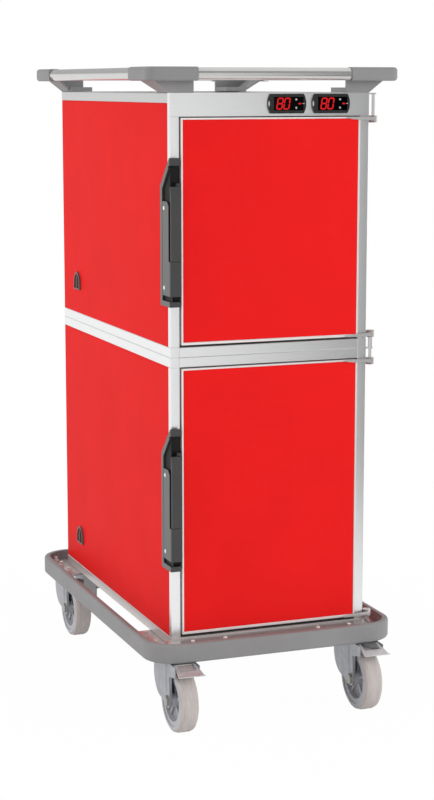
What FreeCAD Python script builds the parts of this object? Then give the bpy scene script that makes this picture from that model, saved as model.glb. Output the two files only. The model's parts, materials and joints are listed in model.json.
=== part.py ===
"""Heated food transport cart: two insulated boxes on a bumper chassis with four castors.

Frame: millimetres, +Z up, the doors face -Y, the door hinges are at +X.
The sizes are laid out about the middle of the cabinet, and each piece is saved moved along Y
so that the origin is on the floor below the middle of the whole cart with its pedals.
"""
import FreeCAD, Part
import math
import os

V = FreeCAD.Vector

# Cabinet
CABINET_WIDTH = 400.0
CABINET_DEPTH = 700.0
LOWER_HEIGHT = 558.0
UPPER_HEIGHT = 487.0
RAIL_HEIGHT = 19.0
WALL = 18.0
POST_DEPTH = 13.0
REAR_POST_DEPTH = 19.0
PROFILE_CHAMFER = 1.0
PANEL_RECESS = 0.6
SIDE_SKIN = 1.4
FLOOR_RECESS = 1.0

# Control fascia and thermostats
FASCIA_HEIGHT = 43.5
FASCIA_SHEET = 3.0
CONTROL_BAY_DEPTH = 65.0
BAY_FLOOR_SHEET = 2.0
ROOF_SHEET = 3.0
ROOF_RECESS = 2.5
THERMOSTAT_WIDTH = 77.0
THERMOSTAT_HEIGHT = 36.0
THERMOSTAT_BOW = 5.0
THERMOSTAT_PROUD = 4.0
THERMOSTAT_LIFT = 1.25
THERMOSTAT_BODY_WIDTH = 68.0
THERMOSTAT_BODY_HEIGHT = 28.0
THERMOSTAT_BODY_DEPTH = 58.0
THERMOSTAT_PLACES = (30.5, 119.8)
CUTOUT_CLEARANCE = 0.3
WINDOW_WIDTH = 60.0
WINDOW_HEIGHT = 25.0
WINDOW_SHIFT = 3.0
WINDOW_DEPTH = 1.2

# Doors
DOOR_GAP = 2.2
DOOR_PROUD = 5.0
DOOR_THICKNESS = 22.0
DOOR_EDGE = 3.4
DOOR_SILL = 5.2
DOOR_FACE_RECESS = 0.4
DOOR_TOP_GAP = 1.8
LOWER_DOOR_BOTTOM_GAP = 6.5
UPPER_DOOR_BOTTOM_GAP = 4.4
GASKET_SETBACK = 9.0
GASKET_DEPTH = 6.0
GASKET_RUN = 0.6

# Hinges
HINGE_OFFSET = 8.5
PIN_DIAMETER = 6.0
PIN_CLEARANCE = 0.05
EYE_DIAMETER = 16.0
EYE_HEIGHT = 13.0
EYE_OVERHANG = 2.0
COLLAR_DIAMETER = 8.4
SEAT_GAP = 0.3
ARM_LENGTH = 58.0
ARM_THICKNESS = 3.2
ARM_HEIGHT = 7.0
BRACKET_SHEET = 2.5
BRACKET_HALF_WIDTH = 4.0
HINGE_FOOT_DIAMETER = 15.0

# Handles
HANDLE_HEIGHT = 274.0
HANDLE_REACH = 16.0
HANDLE_WRAP = 41.0
GUARD_REACH = 11.0
GUARD_WALL = 5.0
GUARD_SKIN = 1.3
GUARD_PLATE = 1.8
GUARD_CAP = 14.0
GUARD_CAP_FLAT = 2.0
GUARD_SLOPE = 52.0
GUARD_RIM = 11.0
GUARD_GROOVE = 1.4
GUARD_FLOOR = 10.0
GUARD_NOTCH = 10.0
GUARD_PLATE_DROP = 28.0
GUARD_PLATE_CORNER = 8.0
HANDLE_RUN = 0.8
FINGER_SLOT = 5.0
LEVER_SHARE = 0.5
LEVER_INSET = 1.6
LEVER_FLARE = 34.0
LEVER_THICKNESS = 6.0
LEVER_PIVOT_INSET = 4.0
LEVER_BARREL = 3.0
TRUNNION = 1.6
TRUNNION_LENGTH = 4.0
STRIP_END = 1.0
BASE_BLOCK = 65.0
LATCH_DIAMETER = 7.0
LATCH_ENGAGE = 2.4
LATCH_LENGTH = 10.0
LATCH_TRAVEL = 6.0
LOWER_HANDLE_LIFT = 7.0

# Chassis and bumper
CASTOR_HEIGHT = 155.0
CHASSIS_SHEET = 4.0
PLATE_LENGTH = 168.0
REAR_PLATE_LENGTH = 140.0
BEAM_WIDTH = 40.0
BEAM_HEIGHT = 12.0
BEAM_SHARE = 0.55
BUMPER_SIDE = 55.0
BUMPER_END = 50.0
BUMPER_WALL = 12.0
BUMPER_HEIGHT = 37.0
BUMPER_DROP = 14.0
BUMPER_CORNER = 62.0
BUMPER_EDGE = 5.0
PLATE_CORNER_RELIEF = 1.0
POWER_BOX = (40.0, 20.0, 28.0)
POWER_PLATE = (3.0, 90.0)
POWER_BOX_GAP = 18.0
INLET_WIDTH = 28.0
INLET_HEIGHT = 20.0
INLET_DEPTH = 12.0

# Castors
CASTOR_HEAD_ROOM = 30.0
WHEEL_WIDTH = 36.0
TYRE_DEPTH = 12.0
TYRE_SHOULDER = 4.0
HUB_BOSS_DIAMETER = 28.0
HUB_WEB = 14.0
HUB_RIM = 9.5
HUB_RIBS = 5
HUB_RIB_WIDTH = 6.0
HUB_RIB_SETBACK = 6.0
HUB_RECESS = 1.5
CASTOR_TRAIL = 24.0
CASTOR_SIDE_INSET = 9.0
CASTOR_END_INSET = 5.0
HEAD_PLATE_X = 84.0
HEAD_PLATE_Y = 66.0
HEAD_PLATE_SHEET = 3.5
HEAD_PLATE_CORNER = 18.0
RACE_DIAMETER = 56.0
RACE_HEIGHT = 10.5
KING_PIN = 12.0
KING_NUT = 18.0
KING_NUT_HEIGHT = 6.0
FORK_REAR = 50.0
FORK_CORNER_RADIUS = 54.0
FORK_SHEET = 3.0
FORK_CROWN_SHEET = 4.0
FORK_BEND = 7.0
FORK_SHOULDER_DROP = 30.0
FORK_RIDGE = 6.0
FORK_RIDGE_SETBACK = 4.0
WHEEL_SIDE_GAP = 2.5
AXLE_DIAMETER = 12.0
AXLE_HEAD = 19.0
AXLE_HEAD_HEIGHT = 6.0
AXLE_BOSS = 14.0
BOLT_X = 32.0
BOLT_Y = 23.0
BOLT_END = 6.0
PLATE_BOLT_SETBACK = 82.0
BOLT_DIAMETER = 8.0
BOLT_HEAD = 12.0
BOLT_HEAD_HEIGHT = 5.0
PEDAL_NECK = 42.0
PEDAL_WIDTH = 52.0
PEDAL_SIDE_GAP = 1.0
PEDAL_CHEEK_INSET = 0.7
PEDAL_SHEET = 2.0
PEDAL_REACH = 92.0
PEDAL_STEP = 4.5
PEDAL_STEP_GAP = 3.0
PEDAL_STEP_LENGTH = 9.0
PEDAL_DROP = 7.5
PEDAL_LIP = 6.0
PEDAL_PIVOT_SETBACK = 20.0
PEDAL_PIVOT_DROP = 4.0
PEDAL_PIN = 5.0
PEDAL_WINDOW = (32.0, 22.0)
PEDAL_WINDOW_SETBACK = 13.0
PEDAL_TOP_GAP = 1.5

# Top rail
TUBE_DIAMETER = 23.0
TUBE_WALL = 2.0
FITTING_SIZE = 25.4
FITTING_EDGE = 6.5
FITTING_CORNER = 17.0
FITTING_ARM_X = 86.0
FITTING_ARM_Y = 98.0
SPIGOT_LENGTH = 25.0
SPIGOT_CLEARANCE = 0.4
RAIL_RISE = 34.0
RAIL_SIDE = 39.0
RAIL_END = 14.0
FLANGE_LENGTH = 47.0
FLANGE_DEPTH = 72.0
FLANGE_HEIGHT = 9.0
WEB_SHEET = 6.5
WEB_SLOPE = 1.31
WEB_LOW = 61.0
WEB_HIGH = 82.0

# Compartments
RUNNER_SHEET = 14.0
RUNNER_RIB = 16.0
RUNNER_RIB_HEIGHT = 12.0
RUNNER_RIB_TAPER = 3.0
RUNNER_PITCH = 60.0
RUNNER_MARGIN = 20.0
RUNNER_FRONT_GAP = 22.0
RUNNER_FLOOR_GAP = 3.0
COVER_SHEET = 2.0
COVER_DEPTH = 46.0
COVER_MARGIN = 12.0
COVER_SIDE_GAP = 20.0
FAN_OPENING = 104.0
COVER_SLOTS = 6
COVER_SLOT_LENGTH = 60.0
COVER_SLOT_HEIGHT = 8.0
COVER_SLOT_PITCH = 24.0
FAN_DIAMETER = 96.0
FAN_HUB = 30.0
FAN_DEPTH = 16.0
FAN_BLADES = 8
FAN_BLADE_SHEET = 1.5
FAN_SHAFT = 8.0
FAN_SHAFT_LENGTH = 12.0
FAN_FRONT_GAP = 5.0
MOTOR_DIAMETER = 64.0
ELEMENT_DIAMETER = 8.0
ELEMENT_RING = 128.0
ELEMENT_BEND = 9.0
ELEMENT_OPENING = 30.0

# Side vents
VENT_HALF_WIDTH = 20.0
VENT_HEIGHT = 38.0
VENT_SHOULDER = 16.0
VENT_PROUD = 4.0
VENT_RIM = 2.4
VENT_BACK = 1.0
VENT_BLADE = 3.0
VENT_FROM_REAR = 105.0
VENT_ABOVE_FLOOR = 50.0

# Levels and planes worked out from the driving sizes
half_w = CABINET_WIDTH / 2
front = -CABINET_DEPTH / 2
back = CABINET_DEPTH / 2
cabinet_z = CASTOR_HEIGHT + CHASSIS_SHEET
seam_z = cabinet_z + LOWER_HEIGHT
top_z = seam_z + UPPER_HEIGHT
fascia_z = top_z - FASCIA_HEIGHT
inner_x = half_w - WALL
panel_front = front + POST_DEPTH
panel_back = back - REAR_POST_DEPTH
lower_floor_z = cabinet_z + RAIL_HEIGHT
lower_ceiling_z = seam_z - RAIL_HEIGHT
upper_floor_z = seam_z + RAIL_HEIGHT
upper_panel_z = top_z - RAIL_HEIGHT
hinge_x = half_w + HINGE_OFFSET
hinge_y = front
door_half = inner_x - DOOR_GAP
door_front = front - DOOR_PROUD
door_back = door_front + DOOR_THICKNESS
lower_door_z = (lower_floor_z + LOWER_DOOR_BOTTOM_GAP, lower_ceiling_z - DOOR_TOP_GAP)
upper_door_z = (upper_floor_z + UPPER_DOOR_BOTTOM_GAP, fascia_z - DOOR_TOP_GAP)
bumper_x = half_w + BUMPER_SIDE
bumper_y = back + BUMPER_END
bumper_z = CASTOR_HEIGHT - BUMPER_DROP
castor_x = half_w - CASTOR_SIDE_INSET
castor_y = back - CASTOR_END_INSET
wheel_diameter = CASTOR_HEIGHT - CASTOR_HEAD_ROOM
axle_z = wheel_diameter / 2
rail_x = half_w + RAIL_SIDE
rail_y = back + RAIL_END
rail_z = top_z + RAIL_RISE
centre_shift = (castor_y + PEDAL_REACH + PEDAL_LIP - bumper_y) / 2


def box(x0, x1, y0, y1, z0, z1):
    """Block between two opposite corners."""
    return Part.makeBox(x1 - x0, y1 - y0, z1 - z0, V(x0, y0, z0))


def rod(diameter, start, end):
    """Round bar from one point to another."""
    line = end.sub(start)
    return Part.makeCylinder(diameter / 2, line.Length, start, line)


def place(plane, u, v, w):
    """Point with two coordinates in a plane and one along its normal."""
    if plane == "xy":
        return V(u, v, w)
    if plane == "xz":
        return V(u, w, v)
    return V(w, u, v)


def outline(plane, level, steps):
    """Closed face from a start point, straight steps (u, v) and arc steps ((u, v), (u, v))."""
    edges = []
    first = place(plane, steps[0][0], steps[0][1], level)
    last = first
    for step in steps[1:]:
        if isinstance(step[0], tuple):
            middle = place(plane, step[0][0], step[0][1], level)
            end = place(plane, step[1][0], step[1][1], level)
            edges.append(Part.Arc(last, middle, end).toShape())
        else:
            end = place(plane, step[0], step[1], level)
            edges.append(Part.LineSegment(last, end).toShape())
        last = end
    if last.distanceToPoint(first) > 1e-6:
        edges.append(Part.LineSegment(last, first).toShape())
    return Part.Face(Part.Wire(edges))


def prism(plane, start, end, steps):
    """Outline drawn in a plane and pushed along its normal from one level to another."""
    return outline(plane, start, steps).extrude(place(plane, 0, 0, end - start))


def rounded_slab(half_x, half_y, radius, z0, z1):
    """Slab with rounded corners about the Z axis."""
    slab = box(-half_x, half_x, -half_y, half_y, z0, z1)
    upright = [e for e in slab.Edges if abs(e.Vertexes[0].Z - e.Vertexes[1].Z) > (z1 - z0) / 2]
    return slab.makeFillet(radius, upright)


def fuse(first, *others):
    """One solid from touching pieces."""
    return first.fuse(list(others)).removeSplitter()


def mirror_x(shape):
    return shape.mirror(V(0, 0, 0), V(1, 0, 0))


def mirror_y(shape):
    return shape.mirror(V(0, 0, 0), V(0, 1, 0))


def moved(shape, x=0.0, y=0.0, z=0.0):
    copy = shape.copy()
    copy.translate(V(x, y, z))
    return copy


def four_corners(shape):
    """A left front piece and its three mirror images."""
    pair = [shape, mirror_x(shape)]
    return pair + [mirror_y(piece) for piece in pair]


def save(name, *solids):
    """Writes one named piece, or a group of like pieces, to its own file."""
    shape = solids[0] if len(solids) == 1 else Part.makeCompound(list(solids))
    shape = moved(shape, 0.0, centre_shift)
    for solid in shape.Solids:
        if not solid.isValid() or solid.Volume <= 0:
            raise ValueError("bad solid in " + name)
    shape.exportStep("parts/" + name + ".step")


def side_rail(z0, y0=front):
    """Left side profile along Y, its two outer edges broken."""
    c = PROFILE_CHAMFER
    z1 = z0 + RAIL_HEIGHT
    section = [(-inner_x, z0), (-inner_x, z1), (-half_w + c, z1), (-half_w, z1 - c),
               (-half_w, z0 + c), (-half_w + c, z0)]
    return prism("xz", y0, back, section)


def cross_rail(z0):
    """Front profile along X between the side profiles."""
    c = PROFILE_CHAMFER
    z1 = z0 + RAIL_HEIGHT
    inner_y = front + REAR_POST_DEPTH
    section = [(inner_y, z0), (inner_y, z1), (front + c, z1), (front, z1 - c), (front, z0 + c), (front + c, z0)]
    return prism("yz", -inner_x, inner_x, section)


def front_post(z0, z1):
    """Left front post, its outer edge broken."""
    c = PROFILE_CHAMFER
    section = [(-inner_x, front), (-inner_x, panel_front), (-half_w, panel_front), (-half_w, front + c),
               (-half_w + c, front)]
    return prism("xy", z0, z1, section)


def rear_post(z0, z1):
    """Left rear post, covered on its outer side by the side panel's skin."""
    skin_inner = -half_w + PANEL_RECESS + SIDE_SKIN
    return box(skin_inner, -inner_x, panel_back, back, z0, z1)


def side_panel(z0, z1):
    """Left insulated panel; its outer skin runs on over the rear post."""
    outer = -half_w + PANEL_RECESS
    steps = [(outer, panel_front), (-inner_x, panel_front), (-inner_x, panel_back),
             (outer + SIDE_SKIN, panel_back), (outer + SIDE_SKIN, back), (outer, back)]
    return prism("xy", z0, z1, steps)


def back_panel(z0, z1):
    return box(-inner_x, inner_x, panel_back + FLOOR_RECESS, back - PANEL_RECESS, z0, z1)


def deck(z0, z1):
    """Insulated floor or ceiling between the frame rails."""
    return box(-inner_x, inner_x, front + REAR_POST_DEPTH, panel_back, z0, z1)


def frames():
    """Posts and rails of both boxes."""
    lower_posts = [front_post(lower_floor_z, lower_ceiling_z), rear_post(lower_floor_z, lower_ceiling_z)]
    upper_posts = [front_post(upper_floor_z, fascia_z), rear_post(upper_floor_z, upper_panel_z)]
    save("lower_frame_posts", *(lower_posts + [mirror_x(post) for post in lower_posts]))
    save("upper_frame_posts", *(upper_posts + [mirror_x(post) for post in upper_posts]))
    lower = []
    for z in (cabinet_z, lower_ceiling_z):
        lower += [side_rail(z), mirror_x(side_rail(z)), cross_rail(z), mirror_y(cross_rail(z))]
    save("lower_frame_rails", *lower)
    top_side = side_rail(upper_panel_z, panel_front)
    upper = [side_rail(seam_z), mirror_x(side_rail(seam_z)), cross_rail(seam_z), mirror_y(cross_rail(seam_z)),
             top_side, mirror_x(top_side), mirror_y(cross_rail(upper_panel_z))]
    save("upper_frame_rails", *upper)


def panels():
    """Red side and back panels, floors, ceiling and roof."""
    for name, z0, z1 in (("lower", lower_floor_z, lower_ceiling_z), ("upper", upper_floor_z, upper_panel_z)):
        left = side_panel(z0, z1)
        save(name + "_left_panel", left)
        save(name + "_right_panel", mirror_x(left))
        save(name + "_back_panel", back_panel(z0, z1))
    save("lower_floor_panel", deck(cabinet_z + FLOOR_RECESS, lower_floor_z))
    save("lower_ceiling_panel", deck(lower_ceiling_z, seam_z - FLOOR_RECESS))
    save("upper_floor_panel", deck(seam_z + FLOOR_RECESS, upper_floor_z))
    bay_back = front + CONTROL_BAY_DEPTH
    cover_z = top_z - ROOF_RECESS
    steps = [(bay_back, fascia_z), (panel_back, fascia_z), (panel_back, cover_z),
             (front + FASCIA_SHEET, cover_z), (front + FASCIA_SHEET, cover_z - ROOF_SHEET),
             (bay_back, cover_z - ROOF_SHEET)]
    save("roof_panel", prism("yz", -inner_x, inner_x, steps))


def bezel_outline(level, x, z, half_x, half_z, bow):
    """Rectangle with bowed left and right ends."""
    side = half_x - bow
    steps = [(x - side, z - half_z), (x + side, z - half_z), ((x + half_x, z), (x + side, z + half_z)),
             (x - side, z + half_z), ((x - half_x, z), (x - side, z - half_z))]
    return outline("xz", level, steps)


def control_panel():
    """Fascia channel with two thermostats and their display windows."""
    middle_z = (fascia_z + top_z) / 2 + THERMOSTAT_LIFT
    sheet = front + FASCIA_SHEET
    fascia = box(-half_w, half_w, front, sheet, fascia_z, top_z)
    end = box(-half_w, -half_w + FASCIA_SHEET, sheet, panel_front, fascia_z, top_z)
    floor = box(-inner_x, inner_x, sheet, front + CONTROL_BAY_DEPTH, fascia_z, fascia_z + BAY_FLOOR_SHEET)
    fascia = fuse(fascia, end, mirror_x(end), floor)
    bodies = []
    windows = []
    for x in THERMOSTAT_PLACES:
        hx = THERMOSTAT_BODY_WIDTH / 2
        hz = THERMOSTAT_BODY_HEIGHT / 2
        c = CUTOUT_CLEARANCE
        fascia = fascia.cut(box(x - hx - c, x + hx + c, front, sheet, middle_z - hz - c, middle_z + hz + c))
        face = bezel_outline(front, x, middle_z, THERMOSTAT_WIDTH / 2, THERMOSTAT_HEIGHT / 2, THERMOSTAT_BOW)
        bezel = face.extrude(V(0, -THERMOSTAT_PROUD, 0))
        case = box(x - hx, x + hx, front, front + THERMOSTAT_BODY_DEPTH, middle_z - hz, middle_z + hz)
        wx = x + WINDOW_SHIFT
        glass = box(wx - WINDOW_WIDTH / 2, wx + WINDOW_WIDTH / 2, front - THERMOSTAT_PROUD,
                    front - THERMOSTAT_PROUD + WINDOW_DEPTH, middle_z - WINDOW_HEIGHT / 2,
                    middle_z + WINDOW_HEIGHT / 2)
        bodies.append(fuse(bezel, case).cut(glass))
        windows.append(glass)
    save("control_fascia", fascia)
    save("thermostats", *bodies)
    save("display_windows", *windows)


def ring(half_x, z0, z1, wall, y0, y1, low=0.0, high=0.0):
    """Upright rectangular frame: wall thick at the sides, wall plus low and high at bottom and top."""
    outer = box(-half_x - wall, half_x + wall, y0, y1, z0 - wall - low, z1 + wall + high)
    return outer.cut(box(-half_x, half_x, y0, y1, z0, z1))


def hinge_arm(z, turned):
    """Strap on the door's corner with an eye on the hinge pin; turned sets it below the strap line."""
    sign = -1 if turned else 1
    left = hinge_x - ARM_LENGTH
    face = door_front
    tip = z - sign * ARM_HEIGHT / 3
    steps = [(left, tip), (left + ARM_HEIGHT, z), (hinge_x, z), (hinge_x, z - sign * ARM_HEIGHT),
             (left + 2 * ARM_HEIGHT, z - sign * ARM_HEIGHT * 2 / 3)]
    strap = prism("xz", face - ARM_THICKNESS, face, steps)
    eye_top = z + EYE_OVERHANG if not turned else z - EYE_OVERHANG + EYE_HEIGHT
    axis = V(hinge_x, hinge_y, eye_top - EYE_HEIGHT)
    eye = rod(EYE_DIAMETER, axis, axis.add(V(0, 0, EYE_HEIGHT)))
    web = box(hinge_x - EYE_DIAMETER / 2, hinge_x, face - ARM_THICKNESS, hinge_y,
              max(axis.z, min(z, z - sign * ARM_HEIGHT)), min(axis.z + EYE_HEIGHT, max(z, z - sign * ARM_HEIGHT)))
    bore = rod(PIN_DIAMETER + 2 * PIN_CLEARANCE, axis, axis.add(V(0, 0, EYE_HEIGHT)))
    return fuse(strap, web, eye).cut(bore)


def doors():
    """Door panels with edge, gasket and hinge arms."""
    for name, (z0, z1), floor_z, ceiling_z in (
            ("upper", upper_door_z, upper_floor_z, fascia_z),
            ("lower", lower_door_z, lower_floor_z, lower_ceiling_z)):
        half = door_half - DOOR_EDGE
        edge = ring(half, z0 + DOOR_SILL, z1 - DOOR_EDGE, DOOR_EDGE, door_front, door_back, DOOR_SILL - DOOR_EDGE)
        face = box(-half, half, door_front + DOOR_FACE_RECESS, door_back - DOOR_FACE_RECESS,
                   z0 + DOOR_SILL, z1 - DOOR_EDGE)
        lip = DOOR_GAP - GASKET_RUN
        seal_y = door_front + GASKET_SETBACK
        gasket = ring(door_half, z0, z1, lip, seal_y, seal_y + GASKET_DEPTH,
                      z0 - floor_z - GASKET_RUN - lip, ceiling_z - z1 - GASKET_RUN - lip)
        save(name + "_door_edge", edge)
        save(name + "_door_panel", face)
        save(name + "_door_gasket", gasket)
        save(name + "_hinge_arms", hinge_arm(z1, False), hinge_arm(z0, True))


def eye_span(z, turned):
    """Lowest and highest level of a hinge eye."""
    top = z - EYE_OVERHANG + EYE_HEIGHT if turned else z + EYE_OVERHANG
    return top - EYE_HEIGHT, top


def hinge_brackets():
    """Three pin brackets at the right side: top, middle and chassis."""
    top_eye = eye_span(upper_door_z[1], False)
    upper_eye = eye_span(upper_door_z[0], True)
    lower_eye = eye_span(lower_door_z[1], False)
    foot_eye = eye_span(lower_door_z[0], True)
    y0 = hinge_y - BRACKET_HALF_WIDTH
    y1 = hinge_y + BRACKET_HALF_WIDTH

    def pin(z0, z1):
        return rod(PIN_DIAMETER, V(hinge_x, hinge_y, z0), V(hinge_x, hinge_y, z1))

    def collar(z0, z1):
        return rod(COLLAR_DIAMETER, V(hinge_x, hinge_y, z0), V(hinge_x, hinge_y, z1))

    def link(z0):
        plate = box(half_w, hinge_x + BRACKET_HALF_WIDTH, y0, y1, z0, z0 + BRACKET_SHEET)
        return plate

    top_link = top_z - PROFILE_CHAMFER - BRACKET_SHEET
    top = fuse(link(top_link), pin(top_eye[0], top_link))
    middle_link = seam_z - BRACKET_SHEET / 2
    middle = fuse(link(middle_link), pin(lower_eye[0], upper_eye[1]),
                  collar(middle_link, upper_eye[0] - SEAT_GAP))
    base = V(hinge_x, hinge_y, cabinet_z)
    foot = rod(HINGE_FOOT_DIAMETER, base, base.add(V(0, 0, BRACKET_SHEET)))
    bottom = fuse(foot, pin(cabinet_z, foot_eye[1]), collar(cabinet_z, foot_eye[0] - SEAT_GAP))
    save("hinge_brackets", top, middle, bottom)


def handle_levels(z0, z1, lift):
    """Heights that the pieces of one handle share."""
    middle = (z0 + z1) / 2 + lift
    top = middle + HANDLE_HEIGHT / 2
    bottom = middle - HANDLE_HEIGHT / 2
    block_z0 = bottom + GUARD_FLOOR + GUARD_NOTCH
    lever_z0 = block_z0 + BASE_BLOCK
    lever_z1 = lever_z0 + HANDLE_HEIGHT * LEVER_SHARE
    return {"top": top, "bottom": bottom, "block_z0": block_z0, "lever_z0": lever_z0, "lever_z1": lever_z1,
            "strip_top": lever_z1 + HANDLE_RUN + TRUNNION_LENGTH + STRIP_END, "latch_z": block_z0 + BASE_BLOCK / 2}


handle_face = front - HANDLE_REACH
guard_face = front - GUARD_REACH
guard_outer = -half_w - GUARD_WALL
guard_right = -inner_x - LEVER_PIVOT_INSET / 2
guard_back = front + HANDLE_WRAP
lever_pivot_x = guard_right - LEVER_PIVOT_INSET
lever_pivot_y = handle_face + LEVER_THICKNESS + LEVER_BARREL


def handle_guard(levels):
    """Corner guard on the cabinet: a rim round a side plate, a sloped shoulder, a front cap and a bottom shelf."""
    top = levels["top"]
    bottom = levels["bottom"]
    cap_z = top - GUARD_CAP
    floor_z = bottom + GUARD_FLOOR
    slope_y = guard_face + GUARD_CAP_FLAT
    profile = [(guard_face, bottom), (guard_back, bottom), (guard_back, top - GUARD_SLOPE), (slope_y, top),
               (guard_face, top)]
    shell = prism("yz", guard_outer, guard_right, profile)
    shell = shell.cut(box(-half_w, half_w, front, back, bottom, top))
    skin_z = levels["strip_top"] + HANDLE_RUN
    shell = shell.cut(box(-half_w, half_w, guard_face, front, floor_z, skin_z))
    shell = shell.cut(box(-half_w, half_w, guard_face, front - GUARD_SKIN, skin_z, cap_z))

    skin_x = -half_w - GUARD_SKIN
    lever_z0 = levels["lever_z0"] - HANDLE_RUN
    slot_y = handle_face + LEVER_THICKNESS + FINGER_SLOT
    rim_y = guard_back - GUARD_RIM
    rim_z = top - GUARD_SLOPE - GUARD_RIM / 2
    plate_z = levels["lever_z1"] - GUARD_PLATE_DROP
    pocket = [(guard_face, lever_z0), (rim_y, lever_z0), (rim_y, rim_z), (slope_y, cap_z), (guard_face, cap_z)]
    window = [(guard_face, plate_z - GUARD_PLATE_CORNER), (slot_y, plate_z - GUARD_PLATE_CORNER),
              (slot_y + GUARD_PLATE_CORNER, plate_z), (rim_y, plate_z), (rim_y, rim_z), (slope_y, cap_z),
              (guard_face, cap_z)]
    shell = shell.cut(prism("yz", guard_outer + GUARD_PLATE, skin_x, pocket))
    shell = shell.cut(prism("yz", guard_outer, skin_x, window))
    shell = shell.cut(box(guard_outer, -half_w, guard_face, slot_y, lever_z0, cap_z))
    shell = shell.cut(box(guard_outer, skin_x, guard_face, rim_y, floor_z, floor_z + GUARD_NOTCH))
    shell = shell.cut(box(guard_outer, guard_outer + GUARD_GROOVE, rim_y - GUARD_GROOVE, rim_y,
                          floor_z + GUARD_NOTCH, plate_z))
    latch_y = handle_face + HANDLE_REACH / 2
    strike_half = LATCH_DIAMETER / 2 + HANDLE_RUN
    latch_z = levels["latch_z"]
    strike = prism("yz", guard_outer + GUARD_PLATE, -half_w,
                   [(guard_face, latch_z - strike_half), (latch_y, latch_z - strike_half),
                    ((latch_y + strike_half, latch_z), (latch_y, latch_z + strike_half)),
                    (guard_face, latch_z + strike_half)])
    return shell.cut(strike)


def handle_base(levels):
    """Door side of the handle: latch block below and a pivot strip that carries the lever."""
    left = -half_w + HANDLE_RUN
    back_y = front - HANDLE_RUN
    edge_x = -door_half
    block = box(left, guard_right, handle_face, back_y, levels["block_z0"], levels["lever_z0"] - HANDLE_RUN)
    latch_y = handle_face + HANDLE_REACH / 2
    strip_y = lever_pivot_y + LEVER_BARREL + HANDLE_RUN
    strip_top = levels["strip_top"]
    plate = box(guard_outer, guard_right, handle_face, guard_face - HANDLE_RUN, levels["block_z0"],
                levels["lever_z0"] - HANDLE_RUN)
    strip = box(lever_pivot_x - LEVER_BARREL, edge_x, strip_y, back_y, levels["block_z0"], strip_top)
    flange = box(guard_right, edge_x, door_front, back_y, levels["block_z0"], strip_top)
    lug = box(lever_pivot_x - LEVER_BARREL, guard_right, lever_pivot_y - LEVER_BARREL, strip_y,
              levels["lever_z1"] + HANDLE_RUN, strip_top)
    base = fuse(block, plate, strip, flange, lug)
    bore_end = -half_w - LATCH_ENGAGE + LATCH_LENGTH + LATCH_TRAVEL + SEAT_GAP
    bore = rod(LATCH_DIAMETER + 2 * PIN_CLEARANCE, V(left, latch_y, levels["latch_z"]),
               V(bore_end, latch_y, levels["latch_z"]))
    hole = rod(2 * (TRUNNION + PIN_CLEARANCE),
               V(lever_pivot_x, lever_pivot_y, levels["lever_z0"] - HANDLE_RUN - TRUNNION_LENGTH - SEAT_GAP),
               V(lever_pivot_x, lever_pivot_y, strip_top))
    return base.cut(bore).cut(hole)


def handle_lever(levels):
    """Pull lever: a rounded grip plate, wider at its top, on an upright barrel with moulded trunnions."""
    z0 = levels["lever_z0"]
    z1 = levels["lever_z1"]
    edge = LEVER_THICKNESS / 2
    inner = handle_face + LEVER_THICKNESS
    steps = [(guard_right, handle_face), (guard_right, inner), (guard_outer + edge, inner),
             ((guard_outer, inner - edge), (guard_outer + edge, handle_face))]
    left = guard_outer + LEVER_INSET
    flare_z = z1 - LEVER_FLARE
    face = [(guard_right, z0), (left, z0), (left, flare_z),
            ((left - LEVER_INSET * 0.3, z1 - LEVER_FLARE / 2), (guard_outer, z1)), (guard_right, z1)]
    grip = prism("xy", z0, z1, steps).common(prism("xz", handle_face, inner, face))
    barrel = rod(2 * LEVER_BARREL, V(lever_pivot_x, lever_pivot_y, z0), V(lever_pivot_x, lever_pivot_y, z1))
    stem = box(lever_pivot_x - LEVER_BARREL, lever_pivot_x + LEVER_BARREL, inner, lever_pivot_y, z0, z1)
    reach = HANDLE_RUN + TRUNNION_LENGTH
    trunnion = rod(2 * TRUNNION, V(lever_pivot_x, lever_pivot_y, z0 - reach),
                   V(lever_pivot_x, lever_pivot_y, z1 + reach))
    return fuse(grip, stem, barrel, trunnion)


def latch_bolt(levels):
    """Round bolt that slides in the handle base and enters the guard."""
    latch_y = handle_face + HANDLE_REACH / 2
    tip = -half_w - LATCH_ENGAGE
    return rod(LATCH_DIAMETER, V(tip, latch_y, levels["latch_z"]),
               V(tip + LATCH_LENGTH, latch_y, levels["latch_z"]))


def handles():
    for name, span, lift in (("upper", upper_door_z, 0.0), ("lower", lower_door_z, LOWER_HANDLE_LIFT)):
        levels = handle_levels(span[0], span[1], lift)
        save(name + "_handle_guard", handle_guard(levels))
        save(name + "_handle_base", handle_base(levels))
        save(name + "_handle_lever", handle_lever(levels))
        save(name + "_latch_bolt", latch_bolt(levels))


def bolt_places():
    """Places of the left front corner's bolts: four of the castor plate and one of the chassis plate."""
    places = [(-castor_x + dx, -castor_y + dy) for dx in (-BOLT_X, BOLT_X) for dy in (-BOLT_Y, BOLT_Y)]
    return places + [(-castor_x - BOLT_X, -castor_y + PLATE_BOLT_SETBACK)]


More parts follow.
